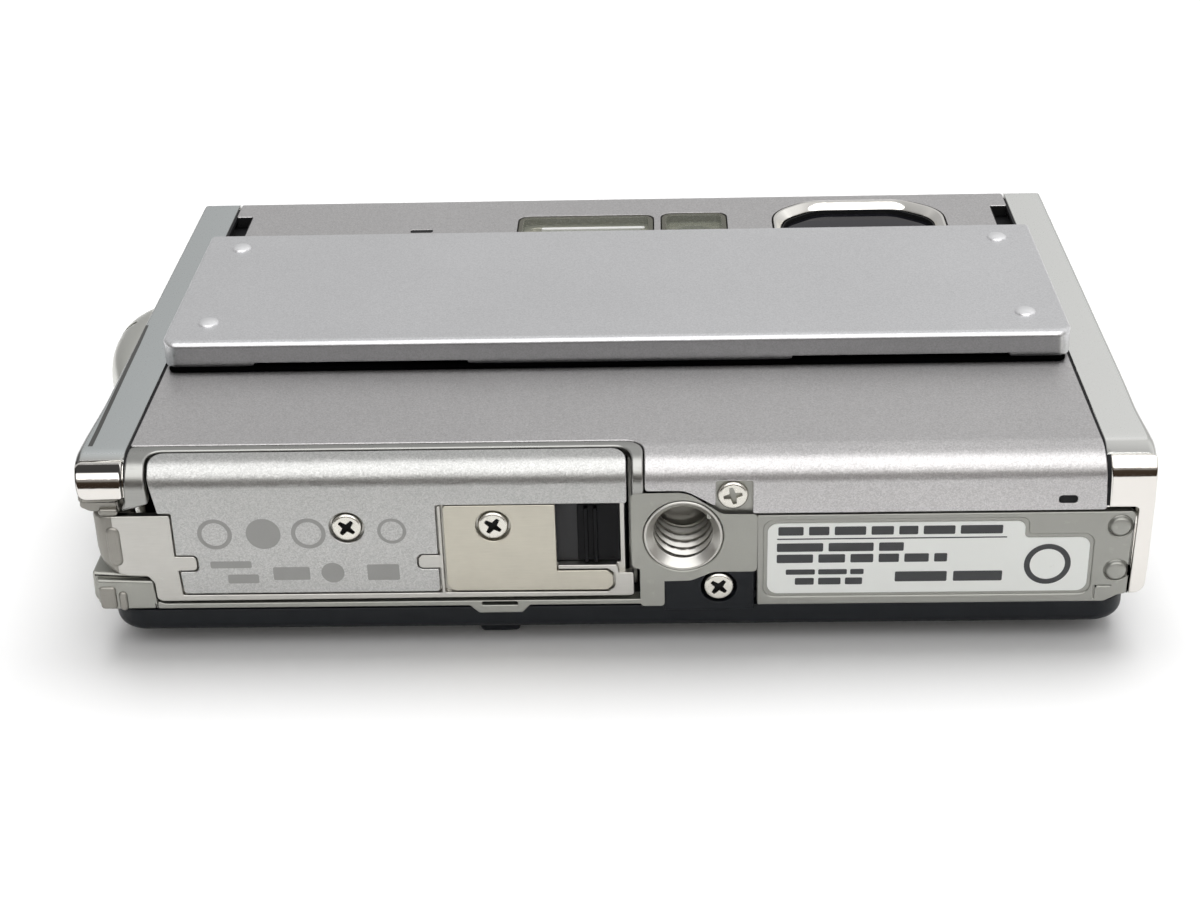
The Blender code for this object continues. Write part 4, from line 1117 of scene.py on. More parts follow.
def make_trim_groove():
    """Dark strip along the left trim's front band, outside it, below the strap lug's top: painted shade of a
    step in the band.
    """
    front = LEFT_TRIM.front
    rows = ((3.2, 44.85, 0.2), (6, 44.86, 0.19), (12, 44.95, 0.18), (18, 45.05, 0.17))
    rings = []
    for z, x, half in (*rows, (24, 45.12, 0.16), (28, 45.2, 0.13)):
        corners = ((-1, front - 0.02), (1, front - 0.02), (1, front + 0.2), (-1, front + 0.2))
        rings.append([Vector((-x + a * half, y, z)) for a, y in corners])
    bm = new_shape()
    grid_solid(bm, rings)
    piece(bm, "trim_groove", GROOVE_SHADE_METAL)


def plain_cutter(*sides):
    bm = new_shape()
    block(bm, *sides)
    return piece(bm, "cutter", CHROME)


def make_strap_lug():
    """Polished swelling on the left side, with the curved slot that a strap goes through."""
    rows = [(45.2, 38.2, 17.0, -7.2, 1.5), (45.75, 37.6, 17.6, -7.3, 1.4), (46.3, 36.9, 18.6, -7.25, 1.1)]
    rows += [(46.8, 36.0, 19.8, -7.15, 0.7), (47.3, 34.9, 21.2, -7.0, 0.2), (47.75, 33.6, 22.6, -6.75, -0.4)]
    rows += [(48.05, 32.4, 24.0, -6.4, -1.0), (48.25, 31.2, 25.2, -6.0, -1.6)]
    rows += [(48.33, 30.2, 26.2, -5.6, -2.2)]
    rings = []
    for x, high, low, front, rear in rows:
        ring = []
        for k in range(64):
            across, up = math.cos(math.tau * k / 64), math.sin(math.tau * k / 64)
            y = (front + rear) / 2 + (rear - front) / 2 * math.copysign(abs(across) ** 0.5, across)
            z = (high + low) / 2 + (high - low) / 2 * math.copysign(abs(up) ** 0.9, up)
            ring.append(Vector((-x, y, z)))
        rings.append(ring)
    bm = new_shape()
    grid_solid(bm, rings)
    bmesh.ops.subdivide_edges(bm, edges=bm.edges[:], cuts=1, use_grid_fill=True, smooth=1.0)
    lug = piece(bm, "strap_lug", LUG_METAL)
    carve(lug, strap_slot(0.2, -9.5, "strap_cutter", CHROME))
    # Dark floor in the slot: painted shade where the slot runs into the lug.
    strap_slot(0.21, -5.2, "strap_slot_floor", DARK)


def strap_slot(half, front, name, material):
    """Curved bar along the strap lug's upper edge: the slot's cutter, and a dark floor that paints the shade
    inside the slot.
    """
    bm = new_shape()
    centre, radius = Vector((-44.0, 27.2)), 4.35
    angles = [math.radians(130 + 40 * k / 12) for k in range(13)]
    loop = []
    for sign, turn in ((-1, angles[::-1]), (1, angles)):
        for a in turn:
            ray = Vector((math.cos(a), math.sin(a)))
            loop.append((centre + ray * (radius + sign * half), ray * sign))
    plate(bm, "Y", loop, front, -2.0, soft=0.02)
    return piece(bm, name, material)


def port_opening():
    bm = new_shape()
    plate(bm, "X", rectangle(-3.85, 4.2, PORT.low - 0.25, PORT.high + 0.25, 0.5), 43.9, 47, soft=0.05)
    return piece(bm, "port_cutter", DARK)


def make_port_cover():
    """Flap with three grip ribs, and the dark floor of the recess behind it."""
    bm = new_shape()
    loop = rectangle(PORT.front, PORT.rear, PORT.low, PORT.high, 0.4)
    plate(bm, "X", loop, 44.95, 45.72, soft=(0.05, 0.25), steps=4)
    for vert in bm.verts:
        back = min(max((vert.co.y + 1.0) / 7.6, 0.0), 1.0)
        vert.co.x -= 0.6 * back * back
    for k in range(3):
        z = PORT.high - 2.6 - 1.1 * k
        plate(bm, "X", rectangle(-2.8, 0.8, z - 0.22, z + 0.22, 0.2), 45.4, 45.8, soft=(0.02, 0.1))
    cavity = new_shape()
    floor = rectangle(-3.95, 4.3, PORT.low - 0.35, PORT.high + 0.35, 0.5)
    plate(cavity, "X", floor, 43.6, 43.95, soft=0.02)
    piece(cavity, "port_recess_floor", DARK)
    # The flap on the right side takes the lighter trim copy, painted lighter for the light there.
    piece(bm, "port_flap", LIT_SIDE_TRIM, ("port_cover",), body="port_door")


# ------------------------------------------------------------ base: fixed pieces


def make_rim():
    """Bent strip round the battery door's opening, with a leg down each side of it."""
    b = unrolled_base
    top, inner_top = unrolled_front(RIM_TOP), unrolled_bend(2.3)
    left, right, inner_left, inner_right = -SEAM_X, 2.68, -39.8, 1.62
    corners = [(left - 0.35, b(-4.0), 0.2), (left - 0.9, b(-3.0), 0.2), (-40.9, b(-3.35), 0.5)]
    corners += [(-39.7, b(-3.75), 0.25), (inner_left, b(-5.2), 1.5), (inner_left, inner_top, 1.3)]
    corners += [(inner_right, inner_top, 1.5), (inner_right, b(-4.0), 0.2), (right, b(-4.0), 0.2)]
    corners += [(right, top, 1.65), (left, top, 0.5)]
    bm = new_shape()
    plate(bm, "Z", outline(corners, 8), 0.03, 0.9, soft=(0.24, 0.1), steps=5)
    wrap(bm)
    piece(bm, "door_rim", RIM_STEEL)


def make_land():
    """Casting round the tripod socket, and the floor of the screw pocket beside it."""
    front = LAND_FRONT + 0.35
    corners = [(2.45, 3.05, 0.3), (2.45, 6.7, 0.15), (4.1, 6.7, 0.1), (4.1, 4.2, 0.15), (6.6, 4.15, 1.0)]
    corners += [(8.5, 3.3, 1.0), (12.1, 3.3, 0.15), (12.1, -1.95, 0.15), (9.25, -2.0, 1.3)]
    corners += [(6.3, front, 2.4), (LAND_SIDE, front, 0.3), (LAND_SIDE, 2.75, 0.25)]
    bm = new_shape()
    opening = circle((SOCKET.x, SOCKET.y), 3.42, 64)
    plate(bm, "Z", outline(corners, 8), 0.0, 1.7, [opening], soft=(0.22, 0.1))
    block(bm, 8.0, 12.3, -5.9, -1.5, 0.42, 1.6, 0.05)
    piece(bm, "socket_land", CASTING)


def make_socket():
    """Insert with a coned mouth and a real helical thread."""
    sides, rows = 96, 84
    crest, root, pitch, low, high = 2.57, 3.0, 1.27, 0.75, 6.9
    mouth = ((3.4, 7.2), (3.4, 0.06), (3.34, 0.0), (3.22, 0.0), (3.16, 0.03), (2.72, 0.62))
    rings = [[place] * sides for place in mouth]
    for row in range(rows + 1):
        z = low + (high - low) * row / rows
        ring = []
        for k in range(sides):
            phase = ((z - low) / pitch - k / sides) % 1.0
            groove = max(0.0, 1 - abs(phase - 0.5) / 0.36)
            start = min((z - low) / 0.5, 1.0)
            ring.append((crest + (root - crest) * min(groove * 1.15, 1.0) * start, z))
        rings.append(ring)
    shapes = []
    for ring in rings:
        points = []
        for k, (radius, z) in enumerate(ring):
            angle = math.tau * k / sides
            x, y = SOCKET.x + radius * math.cos(angle), SOCKET.y + radius * math.sin(angle)
            points.append(Vector((x, y, z)))
        shapes.append(points)
    bm = new_shape()
    grid_solid(bm, shapes)
    piece(bm, "tripod_insert", STEEL, ("tripod_socket",), angle=40)


def label_corners(inset):
    """The label's outline, with the step in its upper right corner."""
    left, right, front, rear = LABEL.xy(-inset)
    step_x, step_y = 35.1 - inset, 0.45 + inset
    corners = [(left, front, 0.9), (step_x, front, 0.7), (step_x, step_y, 0.4), (right, step_y, 0.9)]
    return corners + [(right, rear, 0.9), (left, rear, 0.9)]


def make_bottom_plate():
    """Base plate with a shallow bed for the label, two rivets and a scored corner."""
    front, rear = -2.02, 6.93
    corners = [(12.25, front, 0.2), (44.36, front, 0.45), (44.2, 6.12, 0.3), (43.4, 6.3, 0.5)]
    corners += [(42.3, rear, 0.8), (12.35, rear, 0.15)]
    rivets = [(43.12, y) for y in (-0.6, 3.78)]
    sinks = [circle(centre, 1.02, 40) for centre in rivets]
    bed = outline(label_corners(-0.3), 8)
    scores = [(41.36, 41.42, 5.34, 6.6), (41.6, 42.75, 5.31, 5.37)]
    cuts = [rectangle(*sides, 0.02, 1) for sides in scores]
    bm = new_shape()
    plate(bm, "Z", outline(corners), 0.0, 0.8, [bed, *sinks, *cuts], soft=(0.13, 0.1), hole_soft=(0.16, 0.03))
    for cut in cuts:
        plate(bm, "Z", [(p + n * 0.05, n) for p, n in cut], 0.12, 0.5, soft=0.01, steps=1)
    plate(bm, "Z", outline(label_corners(-0.35), 8), 0.13, 0.7, soft=0.02)
    dome = [(0.7, 1.1), (0.16, 1.1), (0.14, 0.98), (0.05, 0.9), (-0.08, 0.86), (-0.17, 0.76)]
    for place in rivets:
        turned(bm, "Z", place, [*dome, (-0.2, 0.62), (-0.2, 0.3)], 40)
    piece(bm, "base_plate", PLATE_METAL, ("bottom_plate",))


def print_mark(bm, loop, depths, holes=()):
    """Thin film of ink between two depths."""
    plate(bm, "Z", loop, *depths, holes, soft=0.004, steps=1)


def make_label():
    """White sticker whose lettering is replaced by plain bars."""
    face = 0.04
    ink = (face - 0.012, face + 0.01)
    bm = new_shape()
    plate(bm, "Z", outline(label_corners(0.0), 8), face, 0.15, soft=0.03, steps=2)
    piece(bm, "base_label", LABEL_PAPER, ("rating_label",))
    rows = [(14.1, 33.2, -0.42, 0.42), (14.0, 25.4, 1.2, 0.42), (14.0, 28.6, 2.32, 0.42)]
    rows += [(14.8, 21.5, 3.66, 0.26), (15.6, 21.4, 4.6, 0.34), (24.2, 33.4, 4.2, 0.5)]
    bm = new_shape()
    seed = random.Random(4)
    for left, right, y, half in rows:
        x = left
        while x < right - 0.6:
            width = min(seed.uniform(1.4, 4.6) * (half / 0.42), right - x)
            print_mark(bm, rectangle(x, x + width, y - half, y + half, 0.1, 2), ink)
            x += width + half * 1.1
    print_mark(bm, rectangle(14.0, 33.6, 0.3, 0.42, 0.04, 2), ink)
    ring = (37.2, 3.1)
    print_mark(bm, circle(ring, 2.0), ink, [circle(ring, 1.5)])
    piece(bm, "label_bars", LABEL_INK)


def make_edge_strip():
    """Edge of the chassis between the door and the rear case, with its latch tab."""
    rear = 6.75
    corners = [(-40.1, 6.02, 0.15), (-39.4, 6.25, 0.2), (2.4, 6.25, 0.2), (2.4, rear, 0.1), (-7.4, rear, 0.2)]
    corners += [(-8.1, rear + 0.75, 0.2), (-11.9, rear + 0.75, 0.2), (-12.7, rear, 0.2), (-40.1, rear, 0.2)]
    bm = new_shape()
    slot = rectangle(-11.6, -8.5, 6.42, 6.72, 0.1, 2)
    plate(bm, "Z", outline(corners), 0.02, 1.4, [slot], soft=(0.12, 0.1))
    piece(bm, "chassis_edge", CASTING)


def make_hinge_lugs():
    """Fixed halves of the door's hinge: a thin front lug, a deep rear one and the end of the pin."""
    front = [(-42.3, -4.1, 0.1), (-42.3, -2.84, 0.1), (-44.9, -2.92, 0.6), (-45.75, -3.35, 0.35)]
    shelf = [(-41.9, -4.2, 0.1), (-41.9, -3.1, 0.1), (-45.4, -3.15, 0.3), (-46.05, -3.5, 0.3)]
    rear = [(-45.65, 3.25, 0.25), (-40.15, 3.62, 0.2), (-40.1, 5.9, 0.2), (-39.7, 6.75, 0.1)]
    ledge = [(-45.2, 3.75, 0.2), (-40.25, 3.95, 0.2), (-40.1, 6.0, 0.2), (-40.1, 6.78, 0.1)]
    bm = new_shape()
    plate(bm, "Z", outline([*front, (-45.62, -4.1, 0.3)], 6), 0.32, 3.2, soft=(0.25, 0.1), steps=4)
    plate(bm, "Z", outline([*shelf, (-46.0, -4.2, 0.3)], 6), 1.1, 5.6, soft=(0.2, 0.1), steps=4)
    plate(bm, "Z", rectangle(-44.1, -42.4, -3.34, -2.68, 0.3, 6), -0.05, 1.6, soft=(0.2, 0.1), steps=4)
    piece(bm, "front_hinge_lug", HINGE_STEEL)
    bm = new_shape()
    rear += [(-44.6, 6.78, 0.5), (-45.75, 6.1, 0.9)]
    plate(bm, "Z", outline(rear), 0.6, 5.4, soft=(0.35, 0.2), steps=5)
    ledge += [(-44.4, 6.8, 0.4), (-45.3, 6.2, 0.7)]
    plate(bm, "Z", outline(ledge), 0.05, 2.0, soft=(0.22, 0.1), steps=4)
    piece(bm, "rear_hinge_lug", CASTING)
    bm = new_shape()
    plate(bm, "Z", rectangle(-45.1, -43.6, 4.42, 6.68, 0.35, 6), -0.15, 1.2, soft=(0.26, 0.1), steps=5)
    plate(bm, "Z", rectangle(-43.42, -42.66, 4.95, 6.85, 0.37, 8), -0.18, 1.2, soft=(0.26, 0.1), steps=5)
    piece(bm, "hinge_pin_end", HINGE_STEEL)


def cross(centre, degrees, reach=0.8, half=0.15):
    """Recess of a cross-head screw, anticlockwise."""
    web = 0.25
    corners = []
    for turn in range(4):
        spin = Matrix.Rotation(math.pi / 2 * turn + math.radians(degrees), 2)
        for a, b in ((reach, -half), (reach, half), (web, web)):
            p = spin @ Vector((a, b)) + Vector(centre)
            corners.append((p.x, p.y, 0.04))
    return outline(corners, 2)


def make_screw(node, name, body, degrees, low=0.0):
    """Cross-head screw: a slightly domed head with a deep recess, whose floor is a dark disc of painted
    shade, and its shank.
    """
    span = Span(node)
    centre = (span.x, span.y)
    radius = 1.32
    head = circle(centre, radius, 56)
    bm = new_shape()
    recess = cross(centre, degrees)
    plate(bm, "Z", head, low, low + 0.5, [recess], soft=(0.3, 0.02), steps=5, hole_soft=(0.03, 0.0))
    plate(bm, "Z", circle(centre, radius - 0.05), low + 0.56, low + 0.8, soft=0.02)
    plate(bm, "Z", circle(centre, 0.5, 24), low + 0.75, low + 2.4, soft=0.05)
    piece(bm, name, SCREW, (node,), body=body)
    # Dark disc at the floor of the cross recess: painted shade inside the recess.
    bm = new_shape()
    plate(bm, "Z", circle(centre, 1.0, 32), low + 0.5, low + 0.55, soft=0.01)
    piece(bm, f"{name}_recess", DARK, body=body)


def make_screws():
    make_screw("body_screw_1", "panel_screw", "camera_body", -12)
    make_screw("body_screw_2", "case_screw", "camera_body", 40)
    make_screw("door_screw_1", "door_screw_left", "battery_door", 40, -0.02)
    make_screw("door_screw_2", "door_screw_right", "battery_door", 35, -0.02)


# ------------------------------------------------------------ battery door


def skin_corners():
    """The door's painted skin, unrolled, with the notches where the frame's tabs sit."""
    top = unrolled_bend(DOOR_TOP)
    b = unrolled_base
    left, right = SKIN.left, SKIN.right
    corners = [(left - 0.05, b(-2.8), 0.2), (-37.9, b(-2.8), 0.15), (-37.9, b(1.38), 0.15)]
    corners += [(-36.05, b(1.38), 0.5), (-36.05, b(3.0), 0.5), (-37.72, b(3.0), 0.15)]
    corners += [(-37.6, b(5.25), 0.35), (-15.15, b(5.25), 0.35), (-15.15, b(2.95), 0.15)]
    corners += [(-17.0, b(2.95), 0.5), (-17.0, b(1.5), 0.5), (-15.15, b(1.5), 0.15)]
    corners += [(-15.15, b(-3.35), 0.2), (right, b(-3.35), 0.25), (right, top, 1.35)]
    return corners + [(left - 0.55, top, 1.35), (left - 0.6, b(-6.2), 2.0)]


def make_door_skin():
    bm = new_shape()
    screw = Span("door_screw_1")
    place = (screw.x, unrolled_base(screw.y))
    plate(bm, "Z", outline(skin_corners(), 8), 0, 0.6, [circle(place, 1.5)], soft=(0.12, 0.08), steps=4)
    wrap(bm)
    piece(bm, "door_face", SKIN_PAINT, ("door_skin",), body="battery_door")


def make_door_marks():
    """Plain rings, discs and bars in place of the marks printed on the door."""
    ink = (-0.008, 0.05)
    rings = [(-34.3, -0.75, 1.5, 1.12), (-30.1, -0.75, 1.5, 0.0), (-26.2, -0.75, 1.5, 1.12)]
    rings.append((-19.0, -0.9, 1.25, 0.95))
    bars = [(-35.0, -31.4, 1.95, 2.65), (-33.6, -30.9, 3.3, 4.2), (-29.6, -26.4, 2.6, 3.9)]
    bars.append((-21.4, -18.6, 2.4, 4.0))
    bm = new_shape()
    for x, y, outer, inner in rings:
        opening = [circle((x, y), inner, 40)] if inner else []
        print_mark(bm, circle((x, y), outer), ink, opening)
    for sides in bars:
        print_mark(bm, rectangle(*sides, 0.15, 3), ink)
    print_mark(bm, circle((-24.4, 3.2), 1.0), ink)
    piece(bm, "door_marks", GREY_INK, body="battery_door")


def frame_corners():
    """The steel frame's visible face, anticlockwise: rim of the toe, rear strip, web and hinge plate."""
    left = [(-38.02, -2.6, 0.2), (-38.02, 1.48, 0.1), (-36.17, 1.48, 0.4), (-36.17, 2.9, 0.4)]
    left += [(-37.84, 2.9, 0.1), (-37.72, 5.38, 0.2)]
    web = [(-15.03, 5.38, 0.15), (-15.03, 2.87, 0.1), (-16.9, 2.87, 0.4), (-16.9, 1.58, 0.4)]
    web += [(-15.03, 1.58, 0.1), (-15.03, -3.25, 0.1), (-14.72, -3.25, 0.1)]
    toe = [(-14.72, 5.35, 0.2), (-0.6, 5.42, 0.3), (0.05, 4.9, 0.5), (0.05, 3.6, 0.3), (-0.55, 3.12, 0.3)]
    toe += [(-4.85, 3.12, 0.1), (-4.85, 2.72, 0.1), (0.3, 2.72, 0.3), (0.4, 3.52, 0.15), (1.7, 3.52, 0.2)]
    toe += [(1.7, 5.85, 0.35)]
    hinge = [(-39.6, 5.98, 0.2), (-40.05, 5.7, 0.35), (-40.1, 4.1, 0.4), (-40.6, 3.41, 0.5)]
    hinge += [(-42.2, 3.33, 0.6), (PIN.x, 3.1, 0.1), (PIN.x, -2.6, 0.1)]
    return left + web + toe + hinge


def make_door_frame():
    bm = new_shape()
    plate(bm, "Z", outline(frame_corners(), 6), 0.0, 0.75, soft=(0.11, 0.05))
    screw = Span("door_screw_2")
    under = [(SKIN.left + 0.2, -5.0, 0.6), (1.0, -5.0, 0.6), (1.0, 5.6, 0.3), (-39.0, 5.6, 0.3)]
    window = rectangle(-7.2, 0.55, -3.2, 2.8, 0.2)
    plate(bm, "Z", outline(under), 0.62, DOOR.high, [window, circle((screw.x, screw.y), 0.8)], soft=0.1)
    piece(bm, "door_frame_face", STEEL, ("door_frame",), body="battery_door")


def make_barrel():
    """The frame's rolled edge round the hinge pin, drawn in along the rear, with its pressed oval."""
    reach, high, right = 1.8, 2.7, -41.6
    stations = [(-2.6, 0.93, 0.12), (-2.5, 0.97, 0.03), (-2.4, 1.0, 0.0), (0.9, 1.0, 0.0), (1.7, 0.95, 0.0)]
    stations += [(2.3, 0.82, 0.0), (2.75, 0.58, 0.0), (3.0, 0.3, 0.05), (3.08, 0.12, 0.15)]
    rows = []
    for y, share, inset in stations:
        row = []
        for k in range(17):
            a = math.radians(90 + 180 * k / 16)
            z = high / 2 + (high / 2 - inset) * math.sin(a)
            row.append(Vector((PIN.x + reach * share * math.cos(a), y, z)))
        row += [Vector((right, y, 0.4)), Vector((right, y, high - inset))]
        rows.append(row)
    bm = new_shape()
    grid_solid(bm, rows)
    oval = rectangle(-43.72, -42.5, -1.6, 2.3, 0.6, 10)
    plate(bm, "Z", oval, -0.19, 0.3, soft=(0.3, 0.02), steps=6)
    piece(bm, "hinge_barrel", HINGE_STEEL, body="battery_door")


def make_latch():
    corners = [(-14.55, -3.28, 0.3), (-4.92, -3.28, 0.15), (-4.92, 3.26, 0.1), (-0.6, 3.26, 0.45)]
    corners += [(-0.08, 3.75, 0.5), (-0.08, 4.75, 0.5), (-0.6, 5.25, 0.45), (-14.55, 5.2, 0.9)]
    screw = Span("door_screw_2")
    bm = new_shape()
    opening = circle((screw.x, screw.y), 1.5)
    plate(bm, "Z", outline(corners, 8), 0.0, 0.6, [opening], soft=(0.1, 0.05), steps=4)
    piece(bm, "latch_cover_plate", LATCH_STEEL, ("latch_plate",), body="battery_door")


def make_slider():
    bm = new_shape()
    block(bm, SLIDER.left - 0.2, SLIDER.right, -3.0, 2.6, 0.63, 0.82)
    for k in range(2):
        x = -2.55 + 0.8 * k
        plate(bm, "Z", rectangle(x, x + 0.42, -2.85, 2.5, 0.15), 0.05, 0.7, soft=(0.14, 0.02))
    piece(bm, "lock_slider_face", GLOSS, ("lock_slider",), body="door_lock")
    bm = new_shape()
    block(bm, -7.1, 0.5, -3.15, 2.75, 0.86, 0.98)
    piece(bm, "slider_well", BLACK, body="battery_door")


def make_seal():
    outer, inner = rectangle(*SEAL.xy(), 1.5, 8), rectangle(*SEAL.xy(-1), 0.8, 8)
    bm = new_shape()
    plate(bm, "Z", outer, SEAL.low - 0.3, SEAL.high, [inner], soft=(0.1, 0.35), steps=5)
    piece(bm, "door_gasket", SEAL_RUBBER, ("door_seal",), body="battery_door")


def make_bay():
    """Walls of the battery and card bay behind the door."""
    left, right, front, rear = -38.9, 1.15, -4.75, 5.75
    wells = [rectangle(*BATTERY.xy(0.3), 0.6), rectangle(*CARD.xy(0.3, 0.25), 0.3)]
    bm = new_shape()
    plate(bm, "Z", rectangle(left, right, front, rear, 0.8), 3.35, 12.0, wells, soft=0.15)
    piece(bm, "battery_bay", DARK)
    bm = new_shape()
    for sides in ((-39.35, left - 0.05, -7.0, 6.1), (1.25, 2.0, -7.0, 6.1)):
        block(bm, *sides, 2.5, 6.0)
    block(bm, left, right, -6.6, front - 0.05, 2.6, 6.0)
    block(bm, left, right, rear + 0.05, 6.15, 1.5, 6.0)
    piece(bm, "bay_wall", CASTING)


def make_contacts(bm, span, places, width, margins, radius, depths, soft):
    """Row of contact pads across the end of the battery or the card."""
    front, rear = margins
    for x in places:
        pad = rectangle(x, x + width, span.front + front, span.rear - rear, radius)
        plate(bm, "Z", pad, span.low - depths[0], span.low + depths[1], soft=soft)


def make_battery_and_card():
    bm = new_shape()
    plate(bm, "Z", rectangle(*BATTERY.xy(), 0.9), BATTERY.low, BATTERY.high, soft=0.25)
    piece(bm, "battery_pack", BATTERY_WRAP, ("battery",))
    bm = new_shape()
    places = [BATTERY.left + 4.0 + 3.2 * k for k in range(3)]
    make_contacts(bm, BATTERY, places, 2.0, (1.2, 1.2), 0.25, (0.06, 0.3), 0.04)
    piece(bm, "battery_contacts", GOLD)
    bm = new_shape()
    plate(bm, "Z", rectangle(*CARD.xy(), 0.3), CARD.low, CARD.high, soft=0.12)
    places = [CARD.left + 3 + 2.6 * k for k in range(6)]
    make_contacts(bm, CARD, places, 1.2, (0.3, 0.3), 0.15, (0.12, 0.2), 0.05)
    piece(bm, "card_edge", BLACK, ("memory_card",))


# ------------------------------------------------------------ top


SHUTTER_DEPTHS = (-1.7, 3.1)  # front and rear of each top button
POWER_DEPTHS = (-0.7, 2.1)


def make_top():
    """Top plate with its button openings, and the microphone's three holes."""
    holes = []
    for span, (front, rear) in ((SHUTTER, SHUTTER_DEPTHS), (POWER, POWER_DEPTHS)):
        radius = (rear - front + 0.4) / 2 - 0.02
        holes.append(rectangle(span.left - 0.2, span.right + 0.2, front - 0.2, rear + 0.2, radius, 10))
    high = TOP_COVER.high
    loop = rectangle(-PANEL.right, PANEL.right, PANEL.front + HIGH_BEND + 0.75, TOP_COVER.rear, 0.25)
    bm = new_shape()
    plate(bm, "Z", loop, high - 0.9, high, holes, soft=(0.08, 0.14), steps=4)
    piece(bm, "top_plate", TOP_METAL, ("top_cover",))
    bm = new_shape()
    for k in range(3):
        plate(bm, "Z", circle((-15.8 + 1.4 * k, 0.7), 0.35, 20), high - 0.3, high + 0.012, soft=0.01)
    piece(bm, "microphone_holes", BLACK)


def make_top_button(span, name, node, body, front, rear):
    cap_loop = rectangle(span.left, span.right, front, rear, (rear - front) / 2 - 0.01, 12)
    bm = new_shape()
    plate(bm, "Z", cap_loop, span.high - 1.1, span.high, soft=(0.05, 0.3), steps=5)
    block(bm, span.x - 1.0, span.x + 1.0, 0.0, 1.8, span.low, span.high - 1.0)
    piece(bm, name, BUTTON_METAL, (node,), body=body)


# ------------------------------------------------------------ rear


KEYS = {
    "menu_button": "menu_key", "playback_button": "playback_key",
    "display_button": "display_key", "erase_button": "erase_key",
}
KEY_RADIUS = 1.9
OK_RADIUS = 2.9
DIAL_RADIUS = 6.5
PAD_RADIUS = 7.8


def make_case():
    """Rear shell with its openings, the tongue and foot on the base, and the dark wall behind."""
    left, right, low, high = CASE.left, CASE.right, 0.2, CASE.high
    holes = [rectangle(*LCD.xz(0.12), 0.8), rectangle(*ROCKER.xz(0.3, 0.25), 1.0)]
    holes.append(circle((DIAL.x, DIAL.z), DIAL_RADIUS + 0.22, 64))
    holes.append(circle((PAD.x, PAD.z), PAD_RADIUS + 0.22, 64))
    for key in map(Span, KEYS):
        holes.append(circle((key.x, key.z), KEY_RADIUS + 0.18, 40))
    bm = new_shape()
    plate(bm, "Y", rectangle(left, right, low, high, 3.0, 12), 7.0, 9.4, holes, soft=(0.1, 1.1), steps=8)
    piece(bm, "rear_shell", CASE_PLASTIC, ("rear_case",))
    screw = Span("body_screw_2")
    corners = [(4.25, 4.35, 0.15), (6.75, 4.3, 1.0), (8.6, 3.45, 1.0), (12.1, 3.45, 0.15)]
    corners += [(12.1, 7.4, 0.1), (4.25, 7.4, 0.1)]
    bm = new_shape()
    plate(bm, "Z", outline(corners), 0.03, 1.2, [circle((screw.x, screw.y), 1.55)], soft=(0.12, 0.05))
    block(bm, -12.0, -8.5, 8.8, 10.4, 1.6, 4.6, 0.2, 0.4)
    piece(bm, "case_tongue", CASE_PLASTIC)
    bm = new_shape()
    plate(bm, "Y", rectangle(left + 1, right - 1, low + 1, high - 1, 2.0), 6.2, 6.95, soft=0.1)
    piece(bm, "rear_backing", BLACK)


def make_screen():
    bm = new_shape()
    plate(bm, "Y", rectangle(*LCD.xz(), 0.7), LCD.front, LCD.rear, soft=(0.05, 0.15))
    piece(bm, "screen_pane", SCREEN, ("lcd_window",))


def make_keys():
    for node, body in KEYS.items():
        key = Span(node)
        centre = (key.x, key.z)
        bm = new_shape()
        plate(bm, "Y", circle(centre, KEY_RADIUS, 48), 8.0, 9.9, soft=(0.05, 0.35), steps=5)
        plate(bm, "Y", circle(centre, 2.6, 48), 7.6, 8.05, soft=0.05)
        piece(bm, f"{node}_cap", CASE_PLASTIC, (node,), body=body)


def make_dial():
    """Mode dial with a grooved edge and eight plain dots."""
    sides = 144
    centre = Vector((DIAL.x, DIAL.z))
    rim = []
    for k in range(sides):
        angle = math.tau * k / sides
        ray = Vector((math.cos(angle), math.sin(angle)))
        groove = 0.2 * (0.5 - 0.5 * math.cos(36 * angle)) ** 0.6
        rim.append((centre + ray * (DIAL_RADIUS - groove), ray))
    bm = new_shape()
    plate(bm, "Y", rim, 8.0, 10.3, soft=(0.1, 0.35), steps=5)
    plate(bm, "Y", circle(centre, 2.0), 6.8, 8.1, soft=0.05)
    piece(bm, "dial_disc", CASE_PLASTIC, ("mode_dial",), body="dial")
    bm = new_shape()
    for place, _ in circle(centre, 4.7, 8):
        plate(bm, "Y", circle(place, 0.42, 20), 10.25, 10.31, soft=0.01)
    piece(bm, "dial_dots", PALE_INK, body="dial")


def make_pad():
    """Four-way pad with a small triangle at each side, and the key in its middle."""
    centre = Vector((PAD.x, PAD.z))
    bm = new_shape()
    opening = circle(centre, 3.3, 48)
    plate(bm, "Y", circle(centre, PAD_RADIUS, 72), 8.4, 9.9, [opening], soft=(0.05, 0.5), steps=6)
    piece(bm, "pad_ring", CASE_PLASTIC, ("arrow_pad",), body="pad")
    bm = new_shape()
    for k in range(4):
        spin = Matrix.Rotation(math.pi / 2 * k, 2)
        places = [spin @ Vector(corner) + centre for corner in ((6.1, 0), (5.2, 0.6), (5.2, -0.6))]
        plate(bm, "Y", outline([(*place, 0.08) for place in places], 2), 9.85, 9.91, soft=0.01)
    piece(bm, "pad_arrows", PALE_INK, body="pad")
    bm = new_shape()
    plate(bm, "Y", circle((OK.x, OK.z), OK_RADIUS, 48), 8.5, 10.1, soft=(0.05, 0.4), steps=5)
    piece(bm, "ok_cap", CASE_PLASTIC, ("ok_button",), body="ok_key")


